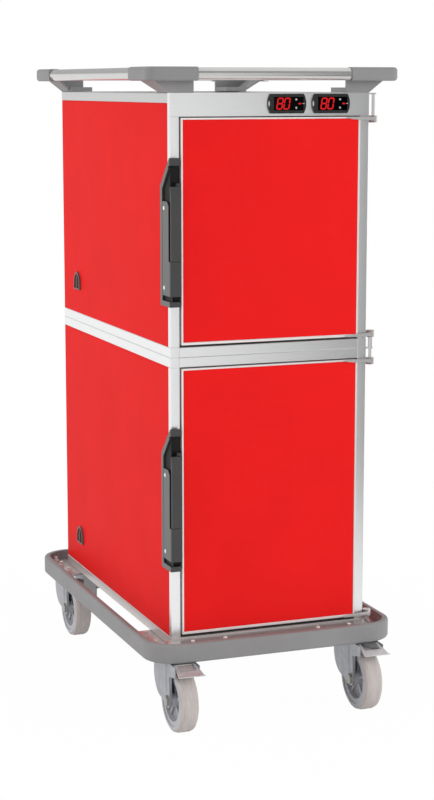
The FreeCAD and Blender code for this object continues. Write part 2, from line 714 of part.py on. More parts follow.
def chassis():
    """Bumper ring, welded chassis and the mains connection box."""
    top = bumper_z + BUMPER_HEIGHT
    outer = rounded_slab(bumper_x, bumper_y, BUMPER_CORNER, bumper_z, top)
    rims = [e for e in outer.Edges if abs(e.Vertexes[0].Z - e.Vertexes[-1].Z) < 1e-6]
    outer = outer.makeFillet(BUMPER_EDGE, rims)
    inner_half_x = bumper_x - BUMPER_WALL
    inner_half_y = bumper_y - BUMPER_WALL
    inner_corner = BUMPER_CORNER - BUMPER_WALL
    save("bumper_ring", outer.cut(rounded_slab(inner_half_x, inner_half_y, inner_corner, bumper_z, top)))

    sheet = rounded_slab(inner_half_x, inner_half_y, inner_corner + PLATE_CORNER_RELIEF,
                         CASTOR_HEIGHT, cabinet_z)
    front_edge = PLATE_LENGTH - inner_half_y
    rear_edge = inner_half_y - REAR_PLATE_LENGTH
    plates = sheet.cut(box(-inner_half_x, inner_half_x, front_edge, rear_edge, CASTOR_HEIGHT, cabinet_z))
    beam_x = CABINET_WIDTH * BEAM_SHARE / 2
    beams = []
    for x in (-beam_x, beam_x):
        beams.append(box(x - BEAM_WIDTH / 2, x + BEAM_WIDTH / 2, front_edge - PLATE_LENGTH / 2,
                         rear_edge + REAR_PLATE_LENGTH / 2, CASTOR_HEIGHT - BEAM_HEIGHT, CASTOR_HEIGHT))
    frame = plates.fuse(beams).removeSplitter()
    for x, y in bolt_places():
        for point in (V(x, y, 0), V(-x, y, 0), V(x, -y, 0), V(-x, -y, 0)):
            frame = frame.cut(moved(rod(BOLT_DIAMETER, V(0, 0, CASTOR_HEIGHT), V(0, 0, cabinet_z)),
                                    point.x, point.y))
    save("chassis_frame", frame)

    wide, long, tall = POWER_BOX
    sheet, reach = POWER_PLATE
    y1 = rear_edge - POWER_BOX_GAP
    case = box(-half_w, -half_w + wide, y1 - long, y1, cabinet_z - tall, cabinet_z)
    plate = box(-half_w, -half_w + sheet, y1 - reach, y1, cabinet_z - tall, cabinet_z)
    middle_x = -half_w + (sheet + wide) / 2
    middle_z = cabinet_z - tall / 2
    inlet = box(middle_x - INLET_WIDTH / 2, middle_x + INLET_WIDTH / 2, y1 - INLET_DEPTH, y1,
                middle_z - INLET_HEIGHT / 2, middle_z + INLET_HEIGHT / 2)
    save("power_box", fuse(case, plate).cut(inlet))


def head_plate():
    """Left front castor plate with its raceway, king pin and nut."""
    z1 = CASTOR_HEIGHT
    z0 = z1 - HEAD_PLATE_SHEET
    plate = rounded_slab(HEAD_PLATE_X / 2, HEAD_PLATE_Y / 2, HEAD_PLATE_CORNER, z0, z1)
    race = rod(RACE_DIAMETER, V(0, 0, z0 - RACE_HEIGHT), V(0, 0, z0))
    nut_z1 = crown_z - FORK_CROWN_SHEET - SEAT_GAP
    pin = rod(KING_PIN, V(0, 0, nut_z1), V(0, 0, z0))
    nut = rod(KING_NUT, V(0, 0, nut_z1 - KING_NUT_HEIGHT), V(0, 0, nut_z1))
    plate = fuse(plate, race, pin, nut)
    for dx in (-BOLT_X, BOLT_X):
        for dy in (-BOLT_Y, BOLT_Y):
            plate = plate.cut(rod(BOLT_DIAMETER, V(dx, dy, z0), V(dx, dy, z1)))
    return plate


crown_z = CASTOR_HEIGHT - HEAD_PLATE_SHEET - RACE_HEIGHT - SEAT_GAP


def fork():
    """Pressed castor fork about its swivel axis, the wheel trailing towards -Y, with a ridge down each leg."""
    leg_inner = WHEEL_WIDTH / 2 + WHEEL_SIDE_GAP
    leg_outer = leg_inner + FORK_SHEET
    foot_z = axle_z - AXLE_BOSS
    axle_y = -CASTOR_TRAIL
    fork_front = axle_y - AXLE_BOSS
    shoulder_z = crown_z - FORK_SHOULDER_DROP
    ceiling = crown_z - FORK_CROWN_SHEET
    bend = FORK_BEND
    cut = bend * (1 - math.sqrt(0.5))
    outer = [(-leg_outer, foot_z), (-leg_outer, crown_z - bend),
             ((-leg_outer + cut, crown_z - cut), (-leg_outer + bend, crown_z)), (leg_outer - bend, crown_z),
             ((leg_outer - cut, crown_z - cut), (leg_outer, crown_z - bend)), (leg_outer, foot_z)]
    edge = AXLE_BOSS * math.sqrt(0.5)
    side = [(fork_front, crown_z), (FORK_REAR, crown_z), (FORK_REAR, shoulder_z),
            ((FORK_REAR * 0.55, (shoulder_z + axle_z) / 2 - AXLE_BOSS / 2), (axle_y + edge, axle_z - edge)),
            ((axle_y, foot_z), (axle_y - edge, axle_z - edge)), (fork_front, axle_z)]
    shell = prism("xz", fork_front, FORK_REAR, outer)
    shell = shell.common(prism("yz", -leg_outer, leg_outer, side))
    shell = shell.common(rod(2 * FORK_CORNER_RADIUS, V(0, 0, foot_z), V(0, 0, crown_z)))
    shell = shell.cut(box(-leg_inner, leg_inner, fork_front, FORK_REAR, foot_z, ceiling))
    ridges = []
    for x in (-leg_outer, leg_outer):
        ridges.append(rod(FORK_RIDGE, V(x, axle_y + AXLE_BOSS / 2, axle_z + AXLE_BOSS),
                          V(x, axle_y + AXLE_BOSS / 2 + FORK_RIDGE_SETBACK, crown_z - bend)))
    well = box(-leg_inner, leg_inner, fork_front, FORK_REAR, foot_z, ceiling)
    shell = shell.fuse(ridges).removeSplitter().cut(well)
    king = rod(KING_PIN + 2 * PIN_CLEARANCE, V(0, 0, ceiling), V(0, 0, crown_z))
    axle = rod(AXLE_DIAMETER, V(-leg_outer, axle_y, axle_z), V(leg_outer, axle_y, axle_z))
    return shell.cut(king).cut(axle)


def axle_bolt():
    """Wheel axle with a head and a nut outside the fork legs."""
    leg_outer = WHEEL_WIDTH / 2 + WHEEL_SIDE_GAP + FORK_SHEET
    y = -CASTOR_TRAIL
    shaft = rod(AXLE_DIAMETER, V(-leg_outer, y, axle_z), V(leg_outer, y, axle_z))
    head = hexagon(AXLE_HEAD, AXLE_HEAD_HEIGHT)
    head.rotate(V(0, 0, 0), V(0, 1, 0), 90)
    right = moved(head, leg_outer, y, axle_z)
    left = moved(head, -leg_outer - AXLE_HEAD_HEIGHT, y, axle_z)
    return fuse(shaft, left, right)


def hexagon(across, height):
    """Hexagon prism on the Z axis."""
    radius = across / math.sqrt(3)
    steps = [(radius * math.cos(math.radians(60 * k)), radius * math.sin(math.radians(60 * k))) for k in range(6)]
    return prism("xy", 0.0, height, steps)


def revolved(profile, y, z):
    """Profile of (x, radius) steps turned about an axle along X."""
    face = outline("xz", 0.0, profile)
    solid = face.revolve(V(0, 0, 0), V(1, 0, 0), 360)
    return moved(solid, 0.0, y, z)


def wheel():
    """Hub with ribs and its tyre, about the axle of the castor."""
    half = WHEEL_WIDTH / 2
    hub_half = half - HUB_RECESS
    web = HUB_WEB / 2
    bore = AXLE_DIAMETER / 2 + PIN_CLEARANCE
    boss = HUB_BOSS_DIAMETER / 2
    rim_out = wheel_diameter / 2 - TYRE_DEPTH
    rim_in = rim_out - HUB_RIM
    side = half + WHEEL_SIDE_GAP - SEAT_GAP
    hub = revolved([(-side, bore), (side, bore), (side, boss), (web, boss), (web, rim_in), (hub_half, rim_in),
                    (hub_half, rim_out), (-hub_half, rim_out), (-hub_half, rim_in), (-web, rim_in),
                    (-web, boss), (-side, boss)], 0.0, 0.0)
    ribs = []
    for k in range(HUB_RIBS):
        rib = box(-hub_half + HUB_RIB_SETBACK, hub_half - HUB_RIB_SETBACK, -HUB_RIB_WIDTH / 2, HUB_RIB_WIDTH / 2,
                  boss - 1, rim_in + 1)
        rib.rotate(V(0, 0, 0), V(1, 0, 0), 360.0 * k / HUB_RIBS)
        ribs.append(rib)
    hub = hub.fuse(ribs).removeSplitter()
    out = wheel_diameter / 2
    s = TYRE_SHOULDER
    tyre = revolved([(-half, rim_out), (half, rim_out), (half, out - 1.5 * s), (half - 0.6 * s, out - 0.5 * s),
                     (half - 2 * s, out), (-half + 2 * s, out), (-half + 0.6 * s, out - 0.5 * s),
                     (-half, out - 1.5 * s)], 0.0, 0.0)
    return moved(hub, 0.0, -CASTOR_TRAIL, axle_z), moved(tyre, 0.0, -CASTOR_TRAIL, axle_z)


def pedal():
    """Brake pedal: a plate stepped up in front of the fork, with a window, side cheeks and a pivot pin."""
    inner = WHEEL_WIDTH / 2 + WHEEL_SIDE_GAP - PEDAL_SIDE_GAP
    sheet = PEDAL_SHEET
    z1 = crown_z - FORK_CROWN_SHEET - PEDAL_TOP_GAP
    pivot_y = -PEDAL_PIVOT_SETBACK
    pivot_z = z1 - PEDAL_PIVOT_DROP
    step_y = -CASTOR_TRAIL - AXLE_BOSS - PEDAL_STEP_GAP
    bend_y = step_y - PEDAL_STEP_LENGTH
    high_z = z1 + PEDAL_STEP
    tip_z = z1 - PEDAL_DROP
    end_y = -PEDAL_REACH - PEDAL_LIP
    root_y = pivot_y + PEDAL_PIN
    side = [(root_y, z1), (step_y, z1), (bend_y, high_z), (-PEDAL_REACH, tip_z), (end_y, tip_z + sheet),
            (end_y, tip_z), (-PEDAL_REACH, tip_z - sheet), (bend_y, high_z - sheet), (step_y, z1 - sheet),
            (root_y, z1 - sheet)]
    plan = [(-inner, root_y), (-inner, step_y), (-PEDAL_NECK / 2, bend_y), (-PEDAL_WIDTH / 2, end_y),
            (PEDAL_WIDTH / 2, end_y), (PEDAL_NECK / 2, bend_y), (inner, step_y), (inner, root_y)]
    plate = prism("yz", -PEDAL_WIDTH, PEDAL_WIDTH, side).common(prism("xy", tip_z - sheet, high_z, plan))
    pin_r = PEDAL_PIN / 2
    cheek_x = PEDAL_CHEEK_INSET - inner
    cheek = prism("yz", cheek_x, cheek_x + sheet, [
        (root_y - PEDAL_CHEEK_INSET, z1 - sheet / 2), (step_y, z1 - sheet / 2), (bend_y, high_z - sheet / 2),
        (bend_y - PEDAL_STEP_LENGTH, high_z - sheet - PEDAL_STEP), (step_y, pivot_z - pin_r - sheet),
        (root_y - PEDAL_CHEEK_INSET, pivot_z - pin_r - sheet)])
    window_x, window_y = PEDAL_WINDOW
    window_end = bend_y - PEDAL_WINDOW_SETBACK + window_y / 2
    window = box(-window_x / 2, window_x / 2, window_end - window_y, window_end, tip_z - sheet, high_z)
    pin_x = WHEEL_WIDTH / 2 + WHEEL_SIDE_GAP + FORK_SHEET
    pin = rod(PEDAL_PIN, V(-pin_x, pivot_y, pivot_z), V(pin_x, pivot_y, pivot_z))
    return fuse(plate, cheek, mirror_x(cheek), pin).cut(window)


def pedal_holes():
    """Clearance holes for the pedal's pivot pin in the fork legs."""
    z = crown_z - FORK_CROWN_SHEET - PEDAL_TOP_GAP - PEDAL_PIVOT_DROP
    y = -PEDAL_PIVOT_SETBACK
    reach = WHEEL_WIDTH + FORK_RIDGE
    return rod(PEDAL_PIN + 2 * PIN_CLEARANCE, V(-reach, y, z), V(reach, y, z))


def castors():
    """Four castors, all trailing towards the front; the front pair has brake pedals."""
    plates = []
    hub, tyre = wheel()
    plain = fork()
    bolt = axle_bolt()
    braked = plain.cut(pedal_holes())
    for side, x in (("left", -castor_x), ("right", castor_x)):
        for end, y in (("front", -castor_y), ("rear", castor_y)):
            name = end + "_" + side
            shell = braked if end == "front" else plain
            save(name + "_castor_fork", moved(shell, x, y), moved(bolt, x, y))
            save(name + "_wheel", moved(hub, x, y), moved(tyre, x, y))
            if end == "front":
                save(name + "_brake_pedal", moved(pedal(), x, y))
            plates.append(moved(head_plate(), x, y))
    save("castor_head_plates", *plates)


def castor_bolts():
    """Bolts of the castor and chassis plates; those under the cabinet end flush in the chassis sheet."""
    head_z = CASTOR_HEIGHT - HEAD_PLATE_SHEET - BOLT_HEAD_HEIGHT
    bolts = []
    for x, y in bolt_places():
        bolt = fuse(moved(hexagon(BOLT_HEAD, BOLT_HEAD_HEIGHT), x, y, head_z),
                    rod(BOLT_DIAMETER, V(x, y, head_z + BOLT_HEAD_HEIGHT), V(x, y, cabinet_z)))
        covered = x + BOLT_HEAD > -half_w and y + BOLT_HEAD > front
        if not covered:
            nut = moved(hexagon(BOLT_HEAD, BOLT_HEAD_HEIGHT), x, y, cabinet_z)
            end = rod(BOLT_DIAMETER, V(x, y, cabinet_z), V(x, y, cabinet_z + BOLT_HEAD_HEIGHT + BOLT_END))
            bolt = fuse(bolt, nut, end)
        bolts += four_corners(bolt)
    save("castor_bolts", *bolts)


def fitting_elbow():
    """Left front elbow of the rail, rounded along its edges, with a spigot for each tube."""
    half = FITTING_SIZE / 2
    outer_x = -rail_x - half
    outer_y = -rail_y - half
    end_x = -rail_x + FITTING_ARM_X
    end_y = -rail_y + FITTING_ARM_Y
    arc = FITTING_CORNER * (1 - math.sqrt(0.5))
    steps = [(outer_x + FITTING_CORNER, outer_y), (end_x, outer_y), (end_x, outer_y + FITTING_SIZE),
             (outer_x + FITTING_SIZE, outer_y + FITTING_SIZE), (outer_x + FITTING_SIZE, end_y), (outer_x, end_y),
             (outer_x, outer_y + FITTING_CORNER),
             ((outer_x + arc, outer_y + arc), (outer_x + FITTING_CORNER, outer_y))]
    body = prism("xy", rail_z - half, rail_z + half, steps)
    rims = []
    for e in body.Edges:
        level = abs(e.Vertexes[0].Z - e.Vertexes[-1].Z) < 1e-6
        middle = e.BoundBox.Center
        if level and abs(middle.x - end_x) > 1e-3 and abs(middle.y - end_y) > 1e-3:
            rims.append(e)
    body = body.makeFillet(FITTING_EDGE, rims)
    spigot = TUBE_DIAMETER - 2 * TUBE_WALL - 2 * SPIGOT_CLEARANCE
    along_x = rod(spigot, V(end_x, -rail_y, rail_z), V(end_x + SPIGOT_LENGTH, -rail_y, rail_z))
    along_y = rod(spigot, V(-rail_x, end_y, rail_z), V(-rail_x, end_y + SPIGOT_LENGTH, rail_z))
    return fuse(body, along_x, along_y)


def rail_fitting():
    """Left front corner fitting: elbow on an upright web, a sloped web and a flange on the roof."""
    inner_end = -half_w + FLANGE_LENGTH
    lean = WEB_SLOPE * (rail_z - top_z)
    flange = box(-half_w, inner_end, front, front + FLANGE_DEPTH, top_z, top_z + FLANGE_HEIGHT)
    upright = prism("xz", front, front + WEB_SHEET, [
        (-half_w, top_z), (inner_end, top_z), (inner_end, rail_z), (-half_w - lean, rail_z)])
    sloped = prism("xz", front, front + WEB_HIGH, [
        (-half_w, top_z), (-half_w + WEB_SHEET, top_z), (-half_w + WEB_SHEET - lean, rail_z),
        (-half_w - lean, rail_z)])
    rear_edge = prism("yz", -rail_x, -half_w + WEB_SHEET, [
        (front + WEB_LOW, top_z), (front + WEB_HIGH, rail_z - FITTING_SIZE / 2), (front + WEB_HIGH, top_z)])
    tie = box(-half_w - lean, inner_end, -rail_y, front + WEB_SHEET, rail_z - FITTING_SIZE / 4, rail_z)
    return fuse(fitting_elbow(), flange, upright, sloped.cut(rear_edge), tie)


def top_rail():
    """Rail tubes on the spigots of their corner fittings."""
    save("rail_corner_fittings", *four_corners(rail_fitting()))
    bore = TUBE_DIAMETER - 2 * TUBE_WALL
    end_x = rail_x - FITTING_ARM_X
    end_y = rail_y - FITTING_ARM_Y
    tubes = []
    for sign in (-1, 1):
        ends = (V(-end_x, sign * rail_y, rail_z), V(end_x, sign * rail_y, rail_z))
        tubes.append(rod(TUBE_DIAMETER, *ends).cut(rod(bore, *ends)))
        ends = (V(sign * rail_x, -end_y, rail_z), V(sign * rail_x, end_y, rail_z))
        tubes.append(rod(TUBE_DIAMETER, *ends).cut(rod(bore, *ends)))
    save("rail_tubes", *tubes)


def runner_wall(z0, z1):
    """Left inner wall with pressed runner ribs along Y."""
    face = -inner_x + RUNNER_SHEET
    tip = face + RUNNER_RIB
    low_z = z0 + RUNNER_FLOOR_GAP
    steps = [(-inner_x, low_z), (face, low_z)]
    count = int((z1 - z0 - 2 * RUNNER_MARGIN - RUNNER_RIB_HEIGHT) / RUNNER_PITCH) + 1
    first = (z0 + z1 - (count - 1) * RUNNER_PITCH) / 2
    for k in range(count):
        z = first + k * RUNNER_PITCH
        low = z - RUNNER_RIB_HEIGHT / 2
        high = z + RUNNER_RIB_HEIGHT / 2
        steps += [(face, low), (tip, low + RUNNER_RIB_TAPER), (tip, high - RUNNER_RIB_TAPER), (face, high)]
    steps += [(face, z1), (-inner_x, z1)]
    y0 = door_back + RUNNER_FRONT_GAP
    y1 = panel_back + FLOOR_RECESS - COVER_DEPTH - COVER_SHEET
    return prism("xz", y0, y1, steps)


def heater(name, z0, z1):
    """Heater cover, its fan wheel, and returns the motor and the element for their groups."""
    wall_y = panel_back + FLOOR_RECESS
    sheet_y = wall_y - COVER_DEPTH
    half = inner_x - COVER_SIDE_GAP
    low = z0 + COVER_MARGIN
    high = z1 - COVER_MARGIN
    middle = (z0 + z1) / 2
    cover = box(-half, half, sheet_y, sheet_y + COVER_SHEET, low, high)
    flank = box(-half, -half + COVER_SHEET, sheet_y, wall_y, low, high)
    cover = fuse(cover, flank, mirror_x(flank))
    cover = cover.cut(rod(FAN_OPENING, V(0, sheet_y, middle), V(0, sheet_y + COVER_SHEET, middle)))
    for k in range(COVER_SLOTS):
        z = middle + (k - (COVER_SLOTS - 1) / 2) * COVER_SLOT_PITCH
        slot = box(-half + COVER_SIDE_GAP, -half + COVER_SIDE_GAP + COVER_SLOT_LENGTH, sheet_y,
                   sheet_y + COVER_SHEET, z - COVER_SLOT_HEIGHT / 2, z + COVER_SLOT_HEIGHT / 2)
        cover = cover.cut(slot).cut(mirror_x(slot))
    save(name + "_heater_cover", cover)

    fan_y0 = sheet_y + COVER_SHEET + FAN_FRONT_GAP
    fan_y1 = fan_y0 + FAN_DEPTH
    motor_y = fan_y1 + SEAT_GAP
    hub = rod(FAN_HUB, V(0, fan_y0, middle), V(0, fan_y1, middle))
    disc = rod(FAN_DIAMETER, V(0, fan_y1 - FAN_BLADE_SHEET, middle), V(0, fan_y1, middle))
    shaft = rod(FAN_SHAFT, V(0, fan_y1, middle), V(0, motor_y + FAN_SHAFT_LENGTH, middle))
    blades = []
    for k in range(FAN_BLADES):
        blade = box(FAN_HUB / 2 - 1, FAN_DIAMETER / 2, fan_y0, fan_y1, -FAN_BLADE_SHEET / 2, FAN_BLADE_SHEET / 2)
        blade.rotate(V(0, 0, 0), V(0, 1, 0), 360.0 * k / FAN_BLADES)
        blades.append(moved(blade, 0.0, 0.0, middle))
    save(name + "_fan_wheel", fuse(hub, disc, shaft, *blades))

    motor = rod(MOTOR_DIAMETER, V(0, motor_y, middle), V(0, wall_y, middle))
    motor = motor.cut(rod(FAN_SHAFT + 2 * PIN_CLEARANCE, V(0, motor_y, middle),
                          V(0, motor_y + FAN_SHAFT_LENGTH + SEAT_GAP, middle)))
    return motor, heating_element((fan_y0 + fan_y1) / 2, wall_y, middle)


def heating_element(ring_y, wall_y, middle):
    """Round tube bent into an open ring about the fan, with its two ends turned back into the wall."""
    radius = ELEMENT_RING / 2
    half_open = math.radians(ELEMENT_OPENING / 2)
    centre = V(0, ring_y, middle)
    depth = V(0, 1, 0)
    low = V(-math.sin(half_open), 0, -math.cos(half_open))
    along = V(-math.cos(half_open), 0, math.sin(half_open))
    start = centre + low * radius
    section = Part.Face(Part.Wire([Part.makeCircle(ELEMENT_DIAMETER / 2, start, along)]))
    loop = section.revolve(centre, depth, 360.0 - ELEMENT_OPENING)
    elbow = section.revolve(start + depth * ELEMENT_BEND, low, -90.0)
    turned = start - along * ELEMENT_BEND + depth * ELEMENT_BEND
    tail = rod(ELEMENT_DIAMETER, turned, V(turned.x, wall_y, turned.z))
    end = fuse(elbow, tail)
    return fuse(loop, end, mirror_x(end))


def compartments():
    """Runner walls and heating gear of both boxes."""
    motors = []
    elements = []
    for name, z0, z1 in (("lower", lower_floor_z, lower_ceiling_z), ("upper", upper_floor_z, fascia_z)):
        left = runner_wall(z0, z1)
        save(name + "_runners", left, mirror_x(left))
        motor, element = heater(name, z0, z1)
        motors.append(motor)
        elements.append(element)
    save("fan_motors", *motors)
    save("heating_elements", *elements)


def bullet(half, low, height, start, end):
    """Upright bullet shape on the left side, flat below and pointed above."""
    steps = [(-half, low), (half, low), (half, VENT_SHOULDER),
             ((half * 0.72, VENT_SHOULDER + (height - VENT_SHOULDER) * 0.6), (0.0, height)),
             ((-half * 0.72, VENT_SHOULDER + (height - VENT_SHOULDER) * 0.6), (-half, VENT_SHOULDER))]
    return prism("yz", start, end, steps)


def side_vents():
    """Shallow cowls on the left side: a bullet-shaped rim round a sunk back with an upright blade."""
    face_x = -half_w + PANEL_RECESS
    y = back - VENT_FROM_REAR
    rim = bullet(VENT_HALF_WIDTH, 0.0, VENT_HEIGHT, -VENT_PROUD, 0.0)
    well = bullet(VENT_HALF_WIDTH - VENT_RIM, VENT_RIM, VENT_HEIGHT - 2 * VENT_RIM, -VENT_PROUD, -VENT_BACK)
    blade = box(-VENT_PROUD, -VENT_BACK, -VENT_BLADE / 2, VENT_BLADE / 2, VENT_RIM / 2, VENT_HEIGHT - 4 * VENT_RIM)
    cowl = fuse(rim.cut(well), blade)
    save("side_vents", *[moved(cowl, face_x, y, z0 + VENT_ABOVE_FLOOR) for z0 in (lower_floor_z, upper_floor_z)])


os.makedirs("parts", exist_ok=True)
frames()
panels()
control_panel()
doors()
hinge_brackets()
handles()
chassis()
castors()
castor_bolts()
top_rail()
compartments()
side_vents()
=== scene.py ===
"""Looks of the heated food transport cart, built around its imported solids, laid out as an add-on."""
import json
import math

import bmesh
import bpy
from bpy.props import FloatProperty, FloatVectorProperty, IntProperty, PointerProperty
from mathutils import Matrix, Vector


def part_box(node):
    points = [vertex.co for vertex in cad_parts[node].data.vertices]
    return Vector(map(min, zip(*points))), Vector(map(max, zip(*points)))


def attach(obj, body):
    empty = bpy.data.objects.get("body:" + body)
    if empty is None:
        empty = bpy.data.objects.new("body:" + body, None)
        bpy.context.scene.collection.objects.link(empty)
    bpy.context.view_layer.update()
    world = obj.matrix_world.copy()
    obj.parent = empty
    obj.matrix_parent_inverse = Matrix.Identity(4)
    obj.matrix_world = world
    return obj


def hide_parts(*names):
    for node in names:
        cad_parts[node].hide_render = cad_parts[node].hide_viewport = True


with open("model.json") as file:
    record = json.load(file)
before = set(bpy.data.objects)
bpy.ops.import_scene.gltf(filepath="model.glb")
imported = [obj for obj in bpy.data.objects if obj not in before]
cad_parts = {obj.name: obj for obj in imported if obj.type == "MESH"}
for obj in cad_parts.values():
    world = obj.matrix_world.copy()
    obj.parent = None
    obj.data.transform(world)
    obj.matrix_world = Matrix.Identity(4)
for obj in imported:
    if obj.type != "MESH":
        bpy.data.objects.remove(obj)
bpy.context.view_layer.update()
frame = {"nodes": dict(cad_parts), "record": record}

bl_info = {
    "name": "Heated Food Transport Cart",
    "version": (1, 0, 0),
    "blender": (4, 5, 0),
    "location": "3D View > Sidebar > Cart",
    "description": "Dresses the cart's solids with edges, fittings, finishes and a studio",
    "category": "Add Mesh",
}

# Names of the cart's nodes
NODES = frame["nodes"]
BODY_OF = {node: body for body, nodes in frame["record"]["behaviour"]["bodies"].items() for node in nodes}
LEVELS = ("upper", "lower")
SIDES = ("left", "right")
ENDS = ("front", "rear")
OUTWARD = {
    "left": Vector((-1.0, 0.0, 0.0)),
    "right": Vector((1.0, 0.0, 0.0)),
    "back": Vector((0.0, 1.0, 0.0)),
}

# Mesh making
MERGE_DISTANCE = 1e-6
FLAT_ANGLE = math.radians(0.6)
ARC_STEPS = 12
RING_STEPS = 48
WIRE_STEPS = 8

# Finishes and picture
WHITE = (1.0, 1.0, 1.0, 1.0)
TINT_SPAN = (0.3, 0.7)
DRAW_STRETCH = 0.012
IMAGE_HEIGHT = 800
SENSOR_WIDTH = 36.0
CLIP_END = 60.0


def setting(kind, **fixed):
    """Maker of one kind of property from a name, a default and a description."""
    def make(name, default, description):
        return kind(name=name, default=default, description=description, **fixed)
    return make


colour = setting(FloatVectorProperty, subtype="COLOR", size=3, min=0.0, max=1.0)
length = setting(FloatProperty, unit="LENGTH", min=0.0)
position = setting(FloatProperty, unit="LENGTH")
pair = setting(FloatVectorProperty, unit="LENGTH", size=2)
spot = setting(FloatVectorProperty, unit="LENGTH", size=3)
tilt = setting(FloatProperty, subtype="ANGLE")
amount = setting(FloatProperty)
tally = setting(IntProperty, min=2, max=12)


class CartFinishes(bpy.types.PropertyGroup):
    """Colours of the cart's finishes."""
    laminate: colour("Laminate", (0.80, 0.014, 0.014), "Red laminate of panels and doors")
    aluminium: colour("Aluminium", (0.88, 0.885, 0.89), "Frame profiles, edges and liners")
    # Painted shadow: darker aluminium on the highest rails, standing for the shadow of the rail tubes above
    # them.
    eaves: colour("Eaves", (0.60, 0.60, 0.595), "Highest rails of the frame")
    # Aluminium door edges, painted brighter and pinkish: a painted highlight and a painted reflection of the
    # red laminate.
    edging: colour("Door edging", (0.84, 0.79, 0.78), "Thin edges of the doors")
    hinge: colour("Hinge", (0.62, 0.61, 0.60), "Hinge arms and brackets")
    # Painted shade: dark brownish colour on the hinge eyes' left-facing flanks, with a reddish painted
    # reflection of the doors.
    eye: colour("Hinge eye", (0.27, 0.19, 0.185), "Shaded flanks of the hinge eyes")
    # Painted shade and painted reflection: darker, pinkish aluminium on the lowest rails, for the shade
    # under the cabinet and the mirrored red panels and bumper.
    sill: colour("Sill", (0.66, 0.61, 0.60), "Lowest rails of the frame")
    chassis: colour("Chassis", (0.66, 0.62, 0.61), "Plates and beams under the cabinet")
    vent: colour("Vent", (0.13, 0.085, 0.08), "Vent cowls of the side")
    tube: colour("Rail tube", (0.60, 0.60, 0.59), "Polished rail tubes")
    moulding: colour("Grey moulding", (0.26, 0.259, 0.264), "Bumper and rail fittings")
    black: colour("Black moulding", (0.049, 0.049, 0.049), "Handles and guards")
    # Painted shadow: near black inside the guards and on the sheets behind the handles.
    shadow: colour("Guard inside", (0.012, 0.011, 0.011), "Inside of the handle guards")
    # Painted sheen: the guards' left-facing sides are the same black plastic, painted lighter grey where
    # they catch the light.
    plate: colour("Guard plate", (0.125, 0.125, 0.125), "Side plates of the handle guards")
    zinc: colour("Zinc", (0.39, 0.40, 0.43), "Castor forks and head plates")
    # Painted light: the pedals' zinc painted lighter than the forks' to stand for the light on the pedals.
    pedal: colour("Pedal", (0.60, 0.585, 0.60), "Brake pedals")
    # Painted shade and painted reflection: the sheets under the pedal windows are darker and pinkish.
    pedal_floor: colour("Pedal floor", (0.40, 0.345, 0.34), "Sheets under the pedal windows")
    tyre: colour("Tyre", (0.53, 0.49, 0.47), "Castor tyres")
    # Painted highlight: a lighter copy of the hub plastic on the flat rings that face sideways.
    rim: colour("Wheel rim", (0.62, 0.615, 0.63), "Flat rings round the wheel hubs")
    hub: colour("Wheel hub", (0.47, 0.48, 0.505), "Moulded wheel hubs")
    # Painted shade: a darker copy of the hub plastic in the sunk webs.
    web: colour("Wheel web", (0.37, 0.375, 0.40), "Sunk webs of the wheel hubs")
    bezel: colour("Bezel", (0.017, 0.017, 0.018), "Thermostat bezels")
    glass: colour("Display glass", (0.0006, 0.0008, 0.0012), "Windows of the displays")
    digits: colour("Digits", (0.52, 0.010, 0.012), "Lit digits of the displays")
    marks: colour("Marks", (0.42, 0.42, 0.42), "Printed marks of the thermostats")
    gasket: colour("Gasket", (0.035, 0.035, 0.034), "Rubber gaskets of the doors")
    bolt: colour("Bolt", (0.86, 0.83, 0.80), "Bolts and grille wires")
    axle: colour("Axle", (0.34, 0.335, 0.31), "Axle bolts of the castors")
    screw: colour("Screw", (0.88, 0.88, 0.88), "Screw heads of the handle guards")
    element: colour("Heating element", (0.30, 0.25, 0.22), "Heating elements")
    motor: colour("Motor", (0.16, 0.17, 0.18), "Fan motors")


class CartSizes(bpy.types.PropertyGroup):
    """Small sizes that the dressing adds to the solids."""
    profile_edge: length("Profile edge", 0.0006, "Rounding of aluminium profile edges")
    moulding_edge: length("Moulding edge", 0.0014, "Rounding of moulded plastic edges")
    arm_edge: length("Arm edge", 0.0012, "Rounding of the hinge arms")
    guard_edge: length("Guard edge", 0.0007, "Rounding of the handle guards and latch bolts")
    base_edge: length("Base edge", 0.00084, "Rounding of the handle bases")
    bezel_edge: length("Bezel edge", 0.00098, "Rounding of the thermostat bezels")
    sheet_edge: length("Sheet edge", 0.0005, "Rounding of sheet metal edges")
    tyre_edge: length("Tyre edge", 0.0024, "Rounding of the tyre's shoulders")
    rim_radius: length("Rim radius", 0.0505, "Radius where the tyre meets the hub")
    dish_radius: length("Dish radius", 0.0415, "Radius of the hollow in a wheel's side")
    screw_radius: length("Screw radius", 0.0040, "Radius of the guard plate screw heads")
    screw_rise: length("Screw rise", 0.0013, "Height of the guard plate screw heads")
    print_rise: length("Print rise", 0.00015, "Thickness of marks and digits on the thermostats")
    digit_height: length("Digit height", 0.0195, "Height of the display digits")
    digit_width: length("Digit width", 0.0102, "Width of a display digit")
    digit_step: length("Digit step", 0.0140, "Distance from one digit to the next")
    digit_stroke: length("Digit stroke", 0.0028, "Width of a digit segment")
    grille_radius: length("Grille radius", 0.0510, "Outer radius of a fan grille")
    grille_wire: length("Grille wire", 0.0011, "Radius of a grille wire")
    grille_rings: tally("Grille rings", 6, "Rings of a fan grille")
    grille_spokes: tally("Grille spokes", 4, "Spokes of a fan grille")


def finishes():
    return bpy.context.scene.cart_finishes


def sizes():
    return bpy.context.scene.cart_sizes


